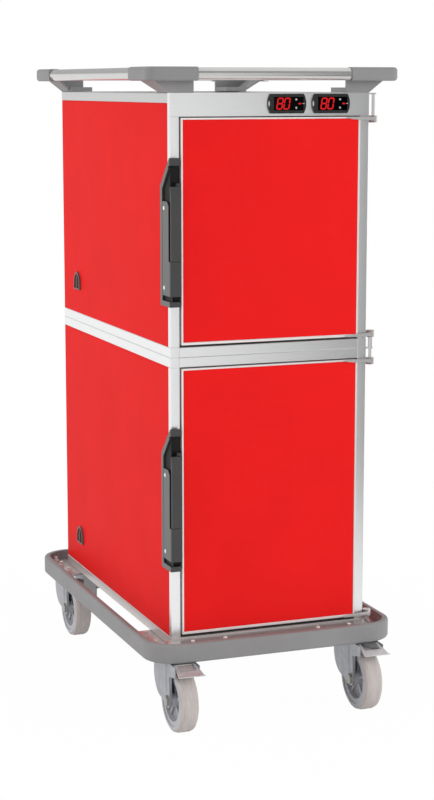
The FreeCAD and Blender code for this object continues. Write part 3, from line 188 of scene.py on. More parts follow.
def new_material(name, base, metallic=0.0, roughness=0.5, specular=0.5):
    """Principled material and the parts that its pattern is wired to."""
    made = bpy.data.materials.new(name)
    made.use_nodes = True
    tree = made.node_tree
    shader = tree.nodes["Principled BSDF"]
    shader.inputs["Base Color"].default_value = (*base, 1.0)
    shader.inputs["Metallic"].default_value = metallic
    shader.inputs["Roughness"].default_value = roughness
    shader.inputs["Specular IOR Level"].default_value = specular
    return made, tree, shader


def feed(tree, socket, value):
    """Wires an output into a socket, or sets the socket to a plain value."""
    if isinstance(value, bpy.types.NodeSocket):
        tree.links.new(value, socket)
    else:
        socket.default_value = value


def add_node(tree, kind, **values):
    """Node with its inputs fed and its settings set by name; an underscore stands for a space."""
    node = tree.nodes.new(kind)
    for key, value in values.items():
        label = key.replace("_", " ")
        if label in node.inputs:
            feed(tree, node.inputs[label], value)
        else:
            setattr(node, key, value)
    return node


def calculate(tree, operation, *terms):
    """Result of an operation on outputs and plain numbers."""
    node = add_node(tree, "ShaderNodeMath", operation=operation)
    for socket, term in zip(node.inputs, terms):
        feed(tree, socket, term)
    return node.outputs[0]


def object_noise(tree, scale, stretch=(1.0, 1.0, 1.0), detail=4.0):
    """Noise on Object coordinates, stretched along the axes."""
    place = add_node(tree, "ShaderNodeTexCoord")
    mapping = add_node(tree, "ShaderNodeMapping", Vector=place.outputs["Object"], Scale=stretch)
    noise = add_node(tree, "ShaderNodeTexNoise", Vector=mapping.outputs["Vector"], Scale=scale,
                     Detail=detail)
    return noise.outputs["Fac"]


def shade(rgb, share):
    return tuple(min(1.0, channel * share) for channel in rgb)


def tint(tree, shader, base, factor, low, high):
    """Base colour that follows a factor from a low to a high share of itself."""
    ramp = add_node(tree, "ShaderNodeValToRGB", Fac=factor)
    for stop, place, share in zip(ramp.color_ramp.elements, TINT_SPAN, (low, high)):
        stop.color = (*shade(base, share), 1.0)
        stop.position = place
    tree.links.new(ramp.outputs["Color"], shader.inputs["Base Color"])


def vary(tree, shader, label, factor, low, high):
    """Input of a shader that follows a factor from a low to a high value."""
    spread = add_node(tree, "ShaderNodeMapRange", Value=factor, To_Min=low, To_Max=high)
    tree.links.new(spread.outputs["Result"], shader.inputs[label])


def bump(tree, shader, height, strength, distance):
    node = add_node(tree, "ShaderNodeBump", Height=height, Strength=strength, Distance=distance)
    tree.links.new(node.outputs["Normal"], shader.inputs["Normal"])


def laminate_sheet(name, base):
    """Fine textured laminate."""
    made, tree, shader = new_material(name, base, roughness=0.5, specular=0.032)
    tint(tree, shader, base, object_noise(tree, scale=9.0, detail=3.0), low=0.965, high=1.02)
    bump(tree, shader, object_noise(tree, scale=620.0, detail=2.0), strength=0.10, distance=0.0004)
    return made


def brushed_metal(name, base, along, metallic=0.85):
    """Satin anodised metal with fine draw lines along one axis."""
    made, tree, shader = new_material(name, base, metallic=metallic, roughness=0.3)
    stretch = tuple(DRAW_STRETCH if axis == along else 1.0 for axis in "xyz")
    lines = object_noise(tree, scale=900.0, stretch=stretch, detail=3.0)
    tint(tree, shader, base, lines, low=0.982, high=1.012)
    vary(tree, shader, "Roughness", lines, low=0.27, high=0.31)
    bump(tree, shader, lines, strength=0.01, distance=0.0002)
    return made


def grained_plastic(name, base, roughness, grain, depth, specular=0.4):
    """Moulded plastic with a fine grain and a faint cloudiness."""
    made, tree, shader = new_material(name, base, roughness=roughness, specular=specular)
    tint(tree, shader, base, object_noise(tree, scale=14.0), low=0.94, high=1.05)
    bump(tree, shader, object_noise(tree, scale=grain, detail=2.0), strength=0.16, distance=depth)
    return made


def pressed_zinc(name, base):
    """Zinc plated pressed steel with a soft spangle."""
    made, tree, shader = new_material(name, base, metallic=0.55, roughness=0.42)
    spangle = object_noise(tree, scale=55.0, detail=6.0)
    tint(tree, shader, base, spangle, low=0.84, high=1.16)
    vary(tree, shader, "Roughness", spangle, low=0.34, high=0.52)
    bump(tree, shader, object_noise(tree, scale=400.0), strength=0.08, distance=0.0002)
    return made


def rolled_rubber(name, base):
    """Warm grey non-marking rubber with rolling wear round the tread."""
    made, tree, shader = new_material(name, base, roughness=0.62, specular=0.3)
    wear = object_noise(tree, scale=130.0, stretch=(3.0, 0.35, 0.35), detail=5.0)
    tint(tree, shader, base, wear, low=0.90, high=1.09)
    bump(tree, shader, object_noise(tree, scale=500.0), strength=0.12, distance=0.0003)
    return made


def plain_finish(name, base, metallic, roughness, scale=60.0, mottle=0.06):
    """Even finish with a faint mottling."""
    made, tree, shader = new_material(name, base, metallic=metallic, roughness=roughness)
    tint(tree, shader, base, object_noise(tree, scale), low=1.0 - mottle, high=1.0 + mottle)
    return made


def lit_segments(name, base):
    """Glowing segments on a darker ground of the same colour."""
    made, tree, shader = new_material(name, shade(base, 0.4), specular=0.05)
    shader.inputs["Emission Color"].default_value = (*base, 1.0)
    vary(tree, shader, "Emission Strength", object_noise(tree, scale=700.0, detail=2.0), low=0.7, high=1.1)
    return made


def dark_glass(name, base):
    """Display window with faint smears."""
    made, tree, shader = new_material(name, base, specular=0.05)
    vary(tree, shader, "Roughness", object_noise(tree, scale=40.0), low=0.08, high=0.16)
    return made


HUB_PLASTIC = dict(roughness=0.45, grain=380.0, depth=0.0003)
RECIPES = {
    "laminate_red": (laminate_sheet, "laminate", {}),
    **{"aluminium_" + axis: (brushed_metal, "aluminium", dict(along=axis)) for axis in "xyz"},
    # Painted shadow on the highest rails.
    "eaves_metal": (brushed_metal, "eaves", dict(along="y")),
    # Door edges with a painted highlight and a pink painted reflection.
    "door_edging": (brushed_metal, "edging", dict(along="z", metallic=0.3)),
    "hinge_metal": (brushed_metal, "hinge", dict(along="x", metallic=0.6)),
    # Painted shade on the hinge eyes' flanks.
    "hinge_eye": (plain_finish, "eye", dict(metallic=0.4, roughness=0.35)),
    # Painted shade and painted reflection on the lowest rails.
    "sill_metal": (brushed_metal, "sill", dict(along="y", metallic=0.6)),
    "chassis_sheet": (plain_finish, "chassis", dict(metallic=0.75, roughness=0.32)),
    "rail_tube": (plain_finish, "tube", dict(metallic=0.7, roughness=0.19, scale=8.0, mottle=0.03)),
    "grey_moulding": (grained_plastic, "moulding", dict(roughness=0.52, grain=420.0, depth=0.0004)),
    "black_moulding": (grained_plastic, "black", dict(roughness=0.46, grain=520.0, depth=0.0003)),
    # Painted shadow inside the guards and behind the handles.
    "guard_inside": (grained_plastic, "shadow",
                     dict(roughness=0.60, grain=520.0, depth=0.0003, specular=0.2)),
    # Painted sheen on the guards' left-facing sides.
    "guard_plate": (grained_plastic, "plate", dict(roughness=0.45, grain=520.0, depth=0.0002)),
    "bezel": (grained_plastic, "bezel", dict(roughness=0.40, grain=600.0, depth=0.0002)),
    # Painted highlight on the hubs' flat rings.
    "wheel_rim": (grained_plastic, "rim", HUB_PLASTIC),
    "wheel_hub": (grained_plastic, "hub", HUB_PLASTIC),
    # Painted shade in the hubs' sunk webs.
    "wheel_web": (grained_plastic, "web", HUB_PLASTIC),
    "gasket_rubber": (grained_plastic, "gasket",
                      dict(roughness=0.70, grain=300.0, depth=0.0003, specular=0.25)),
    "vent_moulding": (grained_plastic, "vent", dict(roughness=0.38, grain=420.0, depth=0.0003)),
    "zinc_plate": (pressed_zinc, "zinc", {}),
    # Lighter zinc as painted light on the pedals.
    "pedal_plate": (pressed_zinc, "pedal", {}),
    # Painted shade with a pinkish painted reflection under the pedal windows.
    "pedal_floor": (plain_finish, "pedal_floor", dict(metallic=0.1, roughness=0.5)),
    "bolt_steel": (plain_finish, "bolt", dict(metallic=0.3, roughness=0.25)),
    "axle_steel": (plain_finish, "axle", dict(metallic=0.45, roughness=0.30)),
    "tyre_rubber": (rolled_rubber, "tyre", {}),
    "lit_digits": (lit_segments, "digits", {}),
    "display_glass": (dark_glass, "glass", {}),
    "white_print": (plain_finish, "marks", dict(metallic=0.0, roughness=0.5)),
    "screw_head": (plain_finish, "screw", dict(metallic=0.3, roughness=0.3)),
    "heating_element": (plain_finish, "element", dict(metallic=0.8, roughness=0.4)),
    "motor_paint": (plain_finish, "motor", dict(metallic=0.1, roughness=0.45)),
}
MATERIALS = {}


def material(name):
    """Finish by name, made when first used."""
    if name not in MATERIALS:
        maker, tone, settings = RECIPES[name]
        MATERIALS[name] = maker(name, tuple(getattr(finishes(), tone)), **settings)
    return MATERIALS[name]


def coat(mesh, finish):
    """Gives a mesh one finish in place of what it had."""
    mesh.materials.clear()
    mesh.materials.append(material(finish))


def link(name, data):
    made = bpy.data.objects.new(name, data)
    bpy.context.scene.collection.objects.link(made)
    return made


def baked(piece):
    """Turns a piece with modifiers into a plain mesh."""
    graph = bpy.context.evaluated_depsgraph_get()
    mesh = bpy.data.meshes.new_from_object(piece.evaluated_get(graph), preserve_all_data_layers=True,
                                           depsgraph=graph)
    old = piece.data
    piece.modifiers.clear()
    piece.data = mesh
    bpy.data.meshes.remove(old)
    mesh.name = piece.name
    return piece


def smooth(piece, angle=32.0):
    for face in piece.data.polygons:
        face.use_smooth = True
    piece.data.set_sharp_from_angle(angle=math.radians(angle))


def settle(piece, like, *nodes):
    """Hands a piece to the body of a like node and hides the nodes that it stands for."""
    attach(piece, BODY_OF[like])
    if nodes:
        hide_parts(*nodes)
    return piece


def softened(node, width, finish, segments=2, angle=30.0):
    """Copy of a node with its hard edges rounded."""
    mesh = NODES[node].data.copy()
    piece = link(node + "_dressed", mesh)
    shell = bmesh.new()
    shell.from_mesh(mesh)
    bmesh.ops.remove_doubles(shell, verts=shell.verts, dist=MERGE_DISTANCE)
    bmesh.ops.dissolve_limit(shell, angle_limit=FLAT_ANGLE, verts=shell.verts, edges=shell.edges)
    shell.to_mesh(mesh)
    shell.free()
    coat(mesh, finish)
    smooth(piece)
    rounding = piece.modifiers.new("Edges", "BEVEL")
    rounding.width = width
    rounding.segments = segments
    rounding.limit_method = "ANGLE"
    rounding.angle_limit = math.radians(angle)
    rounding.miter_outer = "MITER_ARC"
    rounding.use_clamp_overlap = True
    flatten = piece.modifiers.new("Flat faces", "WEIGHTED_NORMAL")
    flatten.keep_sharp = False
    baked(piece)
    return settle(piece, node, node)


def finished(node, finish):
    """A node that keeps its own shape and gets its finish."""
    coat(NODES[node].data, finish)


def from_bmesh(name, shell, finish, like):
    """Piece at the origin from a finished bmesh, settled like a node."""
    bmesh.ops.recalc_face_normals(shell, faces=shell.faces)
    mesh = bpy.data.meshes.new(name)
    shell.to_mesh(mesh)
    shell.free()
    coat(mesh, finish)
    return settle(link(name, mesh), like)


def add_prism(shell, corners, direction):
    """Closed prism from a flat ring of points and a push direction."""
    base = [shell.verts.new(point) for point in corners]
    top = [shell.verts.new(Vector(point) + Vector(direction)) for point in corners]
    shell.faces.new(base)
    shell.faces.new(list(reversed(top)))
    for k in range(len(base)):
        following = (k + 1) % len(base)
        shell.faces.new((base[k], base[following], top[following], top[k]))


def middle_of(node):
    low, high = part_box(node)
    return (low + high) / 2


def paint(piece, finish, wanted):
    """Gives a second finish to the faces of a piece that a test picks."""
    piece.data.materials.append(material(finish))
    index = len(piece.data.materials) - 1
    for face in piece.data.polygons:
        if wanted(face):
            face.material_index = index


def wall(x0, x1, y, z0, z1):
    """Corners of an upright sheet that faces along Y."""
    return [(x0, y, z0), (x1, y, z0), (x1, y, z1), (x0, y, z1)]


def deck(x0, x1, y0, y1, z):
    """Corners of a level sheet."""
    return [(x0, y0, z), (x1, y0, z), (x1, y1, z), (x0, y1, z)]


def geometry_tree(name, sockets):
    """Geometry Nodes tree with a geometry input, named inputs and a geometry output."""
    tree = bpy.data.node_groups.new(name, "GeometryNodeTree")
    tree.interface.new_socket(name="Geometry", in_out="OUTPUT", socket_type="NodeSocketGeometry")
    tree.interface.new_socket(name="Geometry", in_out="INPUT", socket_type="NodeSocketGeometry")
    for label, kind in sockets:
        tree.interface.new_socket(name=label, in_out="INPUT", socket_type=kind)
    entry = add_node(tree, "NodeGroupInput")
    leave = add_node(tree, "NodeGroupOutput")
    return tree, entry.outputs, leave.inputs


def finish_tree(tree, entry, leave, shape):
    """Realizes the instances, sets the material and ends the tree."""
    real = add_node(tree, "GeometryNodeRealizeInstances", Geometry=shape)
    coated = add_node(tree, "GeometryNodeSetMaterial", Geometry=real.outputs["Geometry"],
                      Material=entry["Material"])
    tree.links.new(coated.outputs["Geometry"], leave["Geometry"])
    return tree


def copies(tree, points, shape, **values):
    """Instances of a shape on points."""
    made = add_node(tree, "GeometryNodeInstanceOnPoints", Points=points, Instance=shape, **values)
    return made.outputs["Instances"]


def screw_tree():
    """Domed heads of a given size on given points."""
    tree, entry, leave = geometry_tree("screw_heads", (
        ("Size", "NodeSocketVector"), ("Material", "NodeSocketMaterial")))
    ball = add_node(tree, "GeometryNodeMeshUVSphere", Segments=24, Rings=12, Radius=1.0)
    flat = add_node(tree, "GeometryNodeTransform", Geometry=ball.outputs["Mesh"], Scale=entry["Size"])
    return finish_tree(tree, entry, leave, copies(tree, entry["Geometry"], flat.outputs["Geometry"]))


def grille_tree():
    """Wire fan grilles of rings and spokes that face -Y on given points."""
    tree, entry, leave = geometry_tree("fan_grilles", (
        ("Rings", "NodeSocketInt"), ("Spokes", "NodeSocketInt"), ("Radius", "NodeSocketFloat"),
        ("Wire", "NodeSocketFloat"), ("Material", "NodeSocketMaterial")))
    index = add_node(tree, "GeometryNodeInputIndex").outputs["Index"]

    circle = add_node(tree, "GeometryNodeCurvePrimitiveCircle", Resolution=RING_STEPS, Radius=1.0)
    ring_points = add_node(tree, "GeometryNodePoints", Count=entry["Rings"])
    share = calculate(tree, "DIVIDE", calculate(tree, "ADD", index, 1.0), entry["Rings"])
    reach = calculate(tree, "MULTIPLY", share, entry["Radius"])
    rings = copies(tree, ring_points.outputs["Points"], circle.outputs["Curve"], Scale=reach)

    tip = add_node(tree, "ShaderNodeCombineXYZ", X=entry["Radius"])
    line = add_node(tree, "GeometryNodeCurvePrimitiveLine", End=tip.outputs["Vector"])
    spoke_points = add_node(tree, "GeometryNodePoints", Count=entry["Spokes"])
    step = calculate(tree, "DIVIDE", 2.0 * math.pi, entry["Spokes"])
    about = add_node(tree, "ShaderNodeCombineXYZ", Z=calculate(tree, "MULTIPLY", step, index))
    spokes = copies(tree, spoke_points.outputs["Points"], line.outputs["Curve"],
                    Rotation=about.outputs["Vector"])

    both = add_node(tree, "GeometryNodeJoinGeometry", Geometry=rings)
    tree.links.new(spokes, both.inputs["Geometry"])
    loose = add_node(tree, "GeometryNodeRealizeInstances", Geometry=both.outputs["Geometry"])
    section = add_node(tree, "GeometryNodeCurvePrimitiveCircle", Resolution=WIRE_STEPS, Radius=entry["Wire"])
    wires = add_node(tree, "GeometryNodeCurveToMesh", Curve=loose.outputs["Geometry"],
                     Profile_Curve=section.outputs["Curve"])
    upright = add_node(tree, "GeometryNodeTransform", Geometry=wires.outputs["Mesh"],
                       Rotation=(math.pi / 2, 0.0, 0.0))
    return finish_tree(tree, entry, leave, copies(tree, entry["Geometry"], upright.outputs["Geometry"]))


def scattered(name, points, tree, like, **values):
    """Plain mesh that a Geometry Nodes tree makes on points, settled like a node."""
    mesh = bpy.data.meshes.new(name)
    mesh.from_pydata([tuple(point) for point in points], [], [])
    piece = link(name, mesh)
    nodes = piece.modifiers.new("Nodes", "NODES")
    nodes.node_group = tree
    for item in tree.interface.items_tree:
        if item.in_out == "INPUT" and item.name in values:
            nodes[item.identifier] = values[item.name]
    baked(piece)
    smooth(piece)
    return settle(piece, like)


def oval(x, z, radius_x, radius_z, count=24):
    """Ring of points round an oval that faces -Y."""
    turns = [2 * math.pi * k / count for k in range(count)]
    return [(x + radius_x * math.cos(turn), z + radius_z * math.sin(turn)) for turn in turns]


def bar(start, end, half):
    """Six-cornered segment of a display digit between two points."""
    along = (Vector(end) - Vector(start)).normalized()
    across = Vector((-along.y, along.x))
    near = Vector(start) + along * half
    far = Vector(end) - along * half
    return [tuple(p) for p in (Vector(start), near + across * half, far + across * half, Vector(end),
                               far - across * half, near - across * half)]


class CartOperator(bpy.types.Operator):
    """Shared settings of the dressing operators."""
    bl_options = {"REGISTER", "UNDO"}


class CART_OT_frame(CartOperator):
    """Round and finish the aluminium profiles and the fascia, with painted shade on the highest and lowest
    rails.
    """
    bl_idname = "cart.frame"
    bl_label = "Frame profiles"

    def execute(self, context):
        edge = sizes().profile_edge
        for level in LEVELS:
            softened(level + "_frame_posts", edge, "aluminium_z")
            rails = softened(level + "_frame_rails", edge, "aluminium_y")
            low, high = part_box(level + "_frame_posts")
            if level == "lower":
                # Bottom faces of the lowest rails get painted shade with a pinkish painted reflection.
                paint(rails, "sill_metal", lambda face: face.center.z < low.z)
            else:
                # Top faces of the highest rails get the painted shadow of the rail tubes.
                paint(rails, "eaves_metal", lambda face: face.center.z > high.z)
        softened("control_fascia", edge, "aluminium_x")
        return {"FINISHED"}


class CART_OT_panels(CartOperator):
    """Finish the laminate panels, floors and roof."""
    bl_idname = "cart.panels"
    bl_label = "Panels"

    outside_lean: amount("Outside lean", 0.3, "Least outward lean of a face that keeps its laminate")

    def execute(self, context):
        for level in LEVELS:
            for side, out in OUTWARD.items():
                node = level + "_" + side + "_panel"
                panel = softened(node, sizes().sheet_edge, "laminate_red", segments=1)
                paint(panel, "aluminium_z", lambda face: face.normal.dot(out) < self.outside_lean)
        for node in ("lower_floor_panel", "lower_ceiling_panel", "upper_floor_panel", "roof_panel"):
            finished(node, "aluminium_y")
        return {"FINISHED"}


class CART_OT_doors(CartOperator):
    """Finish the doors, their edges, gaskets and hinges."""
    bl_idname = "cart.doors"
    bl_label = "Doors"

    inside_lean: amount("Inside lean", 0.9, "Least lean to the rear of a door's inner face")
    flank_lean: amount("Flank lean", 0.1, "Least lean to the left of an eye's shaded flank")

    def execute(self, context):
        for level in LEVELS:
            door = softened(level + "_door_panel", sizes().sheet_edge, "laminate_red", segments=1)
            paint(door, "aluminium_z", lambda face: face.normal.y > self.inside_lean)
            # Door edges carry a painted highlight and a pink painted reflection of the laminate.
            softened(level + "_door_edge", sizes().profile_edge, "door_edging")
            softened(level + "_door_gasket", sizes().profile_edge, "gasket_rubber")
            arms = softened(level + "_hinge_arms", sizes().arm_edge, "hinge_metal", segments=3)
            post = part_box(level + "_frame_posts")[1].x
            # Left-facing flanks of the hinge eyes get painted shade.
            paint(arms, "hinge_eye", lambda face: face.center.x > post and face.normal.x < -self.flank_lean)
        softened("hinge_brackets", sizes().profile_edge, "hinge_metal")
        return {"FINISHED"}


class CART_OT_handles(CartOperator):
    """Finish the handles, levers and guards."""
    bl_idname = "cart.handles"
    bl_label = "Handles"

    low_screw: amount("Low screw", 0.125, "Height of the low screw as a share of the guard")
    high_screw: amount("High screw", 0.663, "Height of the high screw as a share of the guard")
    screw_setback: amount("Screw setback", 0.60, "Setback of the screws as a share of the guard")
    plate_lean: amount("Plate lean", 0.7, "Least lean to the left of a guard's side plate")
    # Where the painted shadow inside the guards begins.
    skin: length("Skin", 0.002, "Depth at which the guard's inside starts")
    # Sizes of the sheets of painted shadow behind the handles.
    backing_sheet: length("Backing sheet", 0.0003, "Thickness of the plates behind the handles")
    backing_reach: length("Backing reach", 0.0018, "Reach of the plates past the guards")
    backing_margin: length("Backing margin", 0.004, "Gap from the guards' ends to the plates")

    def execute(self, context):
        edge = sizes().guard_edge
        for level in LEVELS:
            guard = softened(level + "_handle_guard", edge, "black_moulding")
            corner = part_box(level + "_handle_guard")[0]
            inside = corner + Vector((self.skin, self.skin, 0.0))
            # Left-facing sides of the guards get a lighter painted sheen.
            paint(guard, "guard_plate",
                  lambda face: face.normal.x < -self.plate_lean and face.center.x < corner.x + edge)
            # Faces deep inside the guards get painted shadow.
            paint(guard, "guard_inside",
                  lambda face: face.center.x > inside.x and face.center.y > inside.y)
            softened(level + "_handle_base", sizes().base_edge, "black_moulding")
            softened(level + "_handle_lever", sizes().moulding_edge, "black_moulding", segments=3)
            softened(level + "_latch_bolt", edge, "bolt_steel")
        self.screws()
        self.backing()
        return {"FINISHED"}

    def backing(self):
        """Thin dark sheets on the posts behind the handles: painted shadow behind the guards."""
        shell = bmesh.new()
        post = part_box("upper_frame_posts")[0]
        for level in LEVELS:
            low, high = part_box(level + "_handle_guard")
            corners = wall(post.x, high.x + self.backing_reach, post.y,
                           low.z + self.backing_margin, high.z - self.backing_margin)
            add_prism(shell, corners, (0.0, -self.backing_sheet, 0.0))
        from_bmesh("handle_backing", shell, "guard_inside", "upper_handle_guard")

    def screws(self):
        """Screw heads of the guard plates."""
        places = []
        for level in LEVELS:
            low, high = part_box(level + "_handle_guard")
            height = high.z - low.z
            y = low.y + (high.y - low.y) * self.screw_setback
            places += [(low.x, y, low.z + height * share) for share in (self.low_screw, self.high_screw)]
        radius = sizes().screw_radius
        rise = sizes().screw_rise
        scattered("guard_screws", places, screw_tree(), "castor_bolts", Size=(rise, radius, radius),
                  Material=material("screw_head"))


class CART_OT_controls(CartOperator):
    """Finish the thermostats and draw their displays."""
    bl_idname = "cart.controls"
    bl_label = "Thermostats"

    window_width: length("Window width", 0.060, "Width of a display window")
    digits_from_edge: length("Digits from edge", 0.0072, "Gap from the window's left edge")
    slant: amount("Slant", 0.16, "Sideways shift of a digit per height")
    lamp_setback: length("Lamp setback", 0.0075, "Gap from the window's right edge to the lamp")
    lamp_size: pair("Lamp size", (0.0033, 0.0017), "Half width and height of the lamp")
    arrow_setback: length("Arrow setback", 0.0150, "Gap from the window's right edge to the arrows")
    arrow_rise: length("Arrow rise", 0.0076, "Height of an arrow above the middle")
    arrow_size: pair("Arrow size", (0.0019, 0.0019), "Half width and height of an arrow")
    key_gap: length("Key gap", 0.0096, "Gap from the window's left edge to the key")
    key_size: pair("Key size", (0.0016, 0.0050), "Half width and height of the key")
    dash_setback: length("Dash setback", 0.0002, "Gap from the window's right edge to the dash")
    dash_size: pair("Dash size", (0.0022, 0.0007), "Half width and height of the dash")

    def execute(self, context):
        softened("thermostats", sizes().bezel_edge, "bezel", segments=3)
        finished("display_windows", "display_glass")
        low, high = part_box("display_windows")
        middle = (low.z + high.z) / 2
        digits = bmesh.new()
        prints = bmesh.new()
        for left in (low.x, high.x - self.window_width):
            self.two_digits(digits, left + self.digits_from_edge, middle, low.y)
            right = left + self.window_width
            self.stamp(digits, oval(right - self.lamp_setback, middle, *self.lamp_size), low.y)
            for rise in (-self.arrow_rise, self.arrow_rise):
                self.stamp(prints, oval(right - self.arrow_setback, middle + rise, *self.arrow_size), low.y)
            self.stamp(prints, oval(left - self.key_gap, middle, *self.key_size), low.y)
            self.stamp(prints, oval(right - self.dash_setback, middle, *self.dash_size), low.y)
        from_bmesh("display_digits", digits, "lit_digits", "display_windows")
        from_bmesh("key_marks", prints, "white_print", "thermostats")
        return {"FINISHED"}

    def stamp(self, shell, ring, y):
        """Thin raised shape on the front of a thermostat."""
        add_prism(shell, [(x, y, z) for x, z in ring], (0.0, -sizes().print_rise, 0.0))

    def two_digits(self, shell, left, middle, y):
        """Two slanted digits, an eight and a nought."""
        half_height = sizes().digit_height / 2
        half = sizes().digit_stroke / 2
        width = sizes().digit_width
        for place, crossed in ((0, True), (1, False)):
            x0 = left + place * sizes().digit_step
            x1 = x0 + width
            strokes = [((x0, z), (x1, z)) for z in (-half_height, half_height)]
            strokes += [((x, 0.0), (x, z)) for x in (x0, x1) for z in (-half_height, half_height)]
            if crossed:
                strokes.append(((x0, 0.0), (x1, 0.0)))
            for start, end in strokes:
                ring = [(x + z * self.slant, middle + z) for x, z in bar(start, end, half)]
                self.stamp(shell, ring, y)


class CART_OT_rail(CartOperator):
    """Finish the top rail."""
    bl_idname = "cart.rail"
    bl_label = "Top rail"

    def execute(self, context):
        finished("rail_tubes", "rail_tube")
        softened("rail_corner_fittings", sizes().moulding_edge, "grey_moulding")
        return {"FINISHED"}


class CART_OT_chassis(CartOperator):
    """Finish the bumper, chassis and connection box."""
    bl_idname = "cart.chassis"
    bl_label = "Chassis"

    ledge_drop: length("Ledge drop", 0.004, "From the bumper's top to the front ledge")
    ledge_setback: length("Ledge setback", 0.017, "From the bumper's front to the ledge")
    ledge_overhang: length("Ledge overhang", 0.015, "Reach of the ledge past the left post")
    ledge_sheet: length("Ledge sheet", 0.0015, "Thickness of the ledge")
    head_places: pair("Head places", (0.097, 0.163), "Half spans of the ledge's bolt pairs")
    head_size: pair("Head size", (0.0044, 0.0022), "Radius and rise of the bolt heads")

    def execute(self, context):
        self.ledge()
        softened("bumper_ring", sizes().moulding_edge, "grey_moulding")
        softened("chassis_frame", sizes().sheet_edge, "chassis_sheet", segments=1)
        softened("power_box", sizes().moulding_edge, "grey_moulding")
        softened("castor_bolts", sizes().sheet_edge, "bolt_steel")
        return {"FINISHED"}

    def ledge(self):
        """Sheet between the front bumper and the cabinet, with its bolt heads."""
        bumper_low, bumper_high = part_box("bumper_ring")
        low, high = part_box("lower_frame_rails")
        y0 = bumper_low.y + self.ledge_setback
        z = bumper_high.z - self.ledge_drop
        x0 = low.x - self.ledge_overhang
        shell = bmesh.new()
        add_prism(shell, deck(x0, high.x, y0, low.y, z), (0.0, 0.0, -self.ledge_sheet))
        from_bmesh("front_ledge", shell, "chassis_sheet", "chassis_frame")
        radius, rise = self.head_size
        places = [(side * x, (y0 + low.y) / 2, z) for x in self.head_places for side in (-1.0, 1.0)]
        scattered("ledge_bolts", places, screw_tree(), "castor_bolts", Size=(radius, radius, rise),
                  Material=material("bolt_steel"))


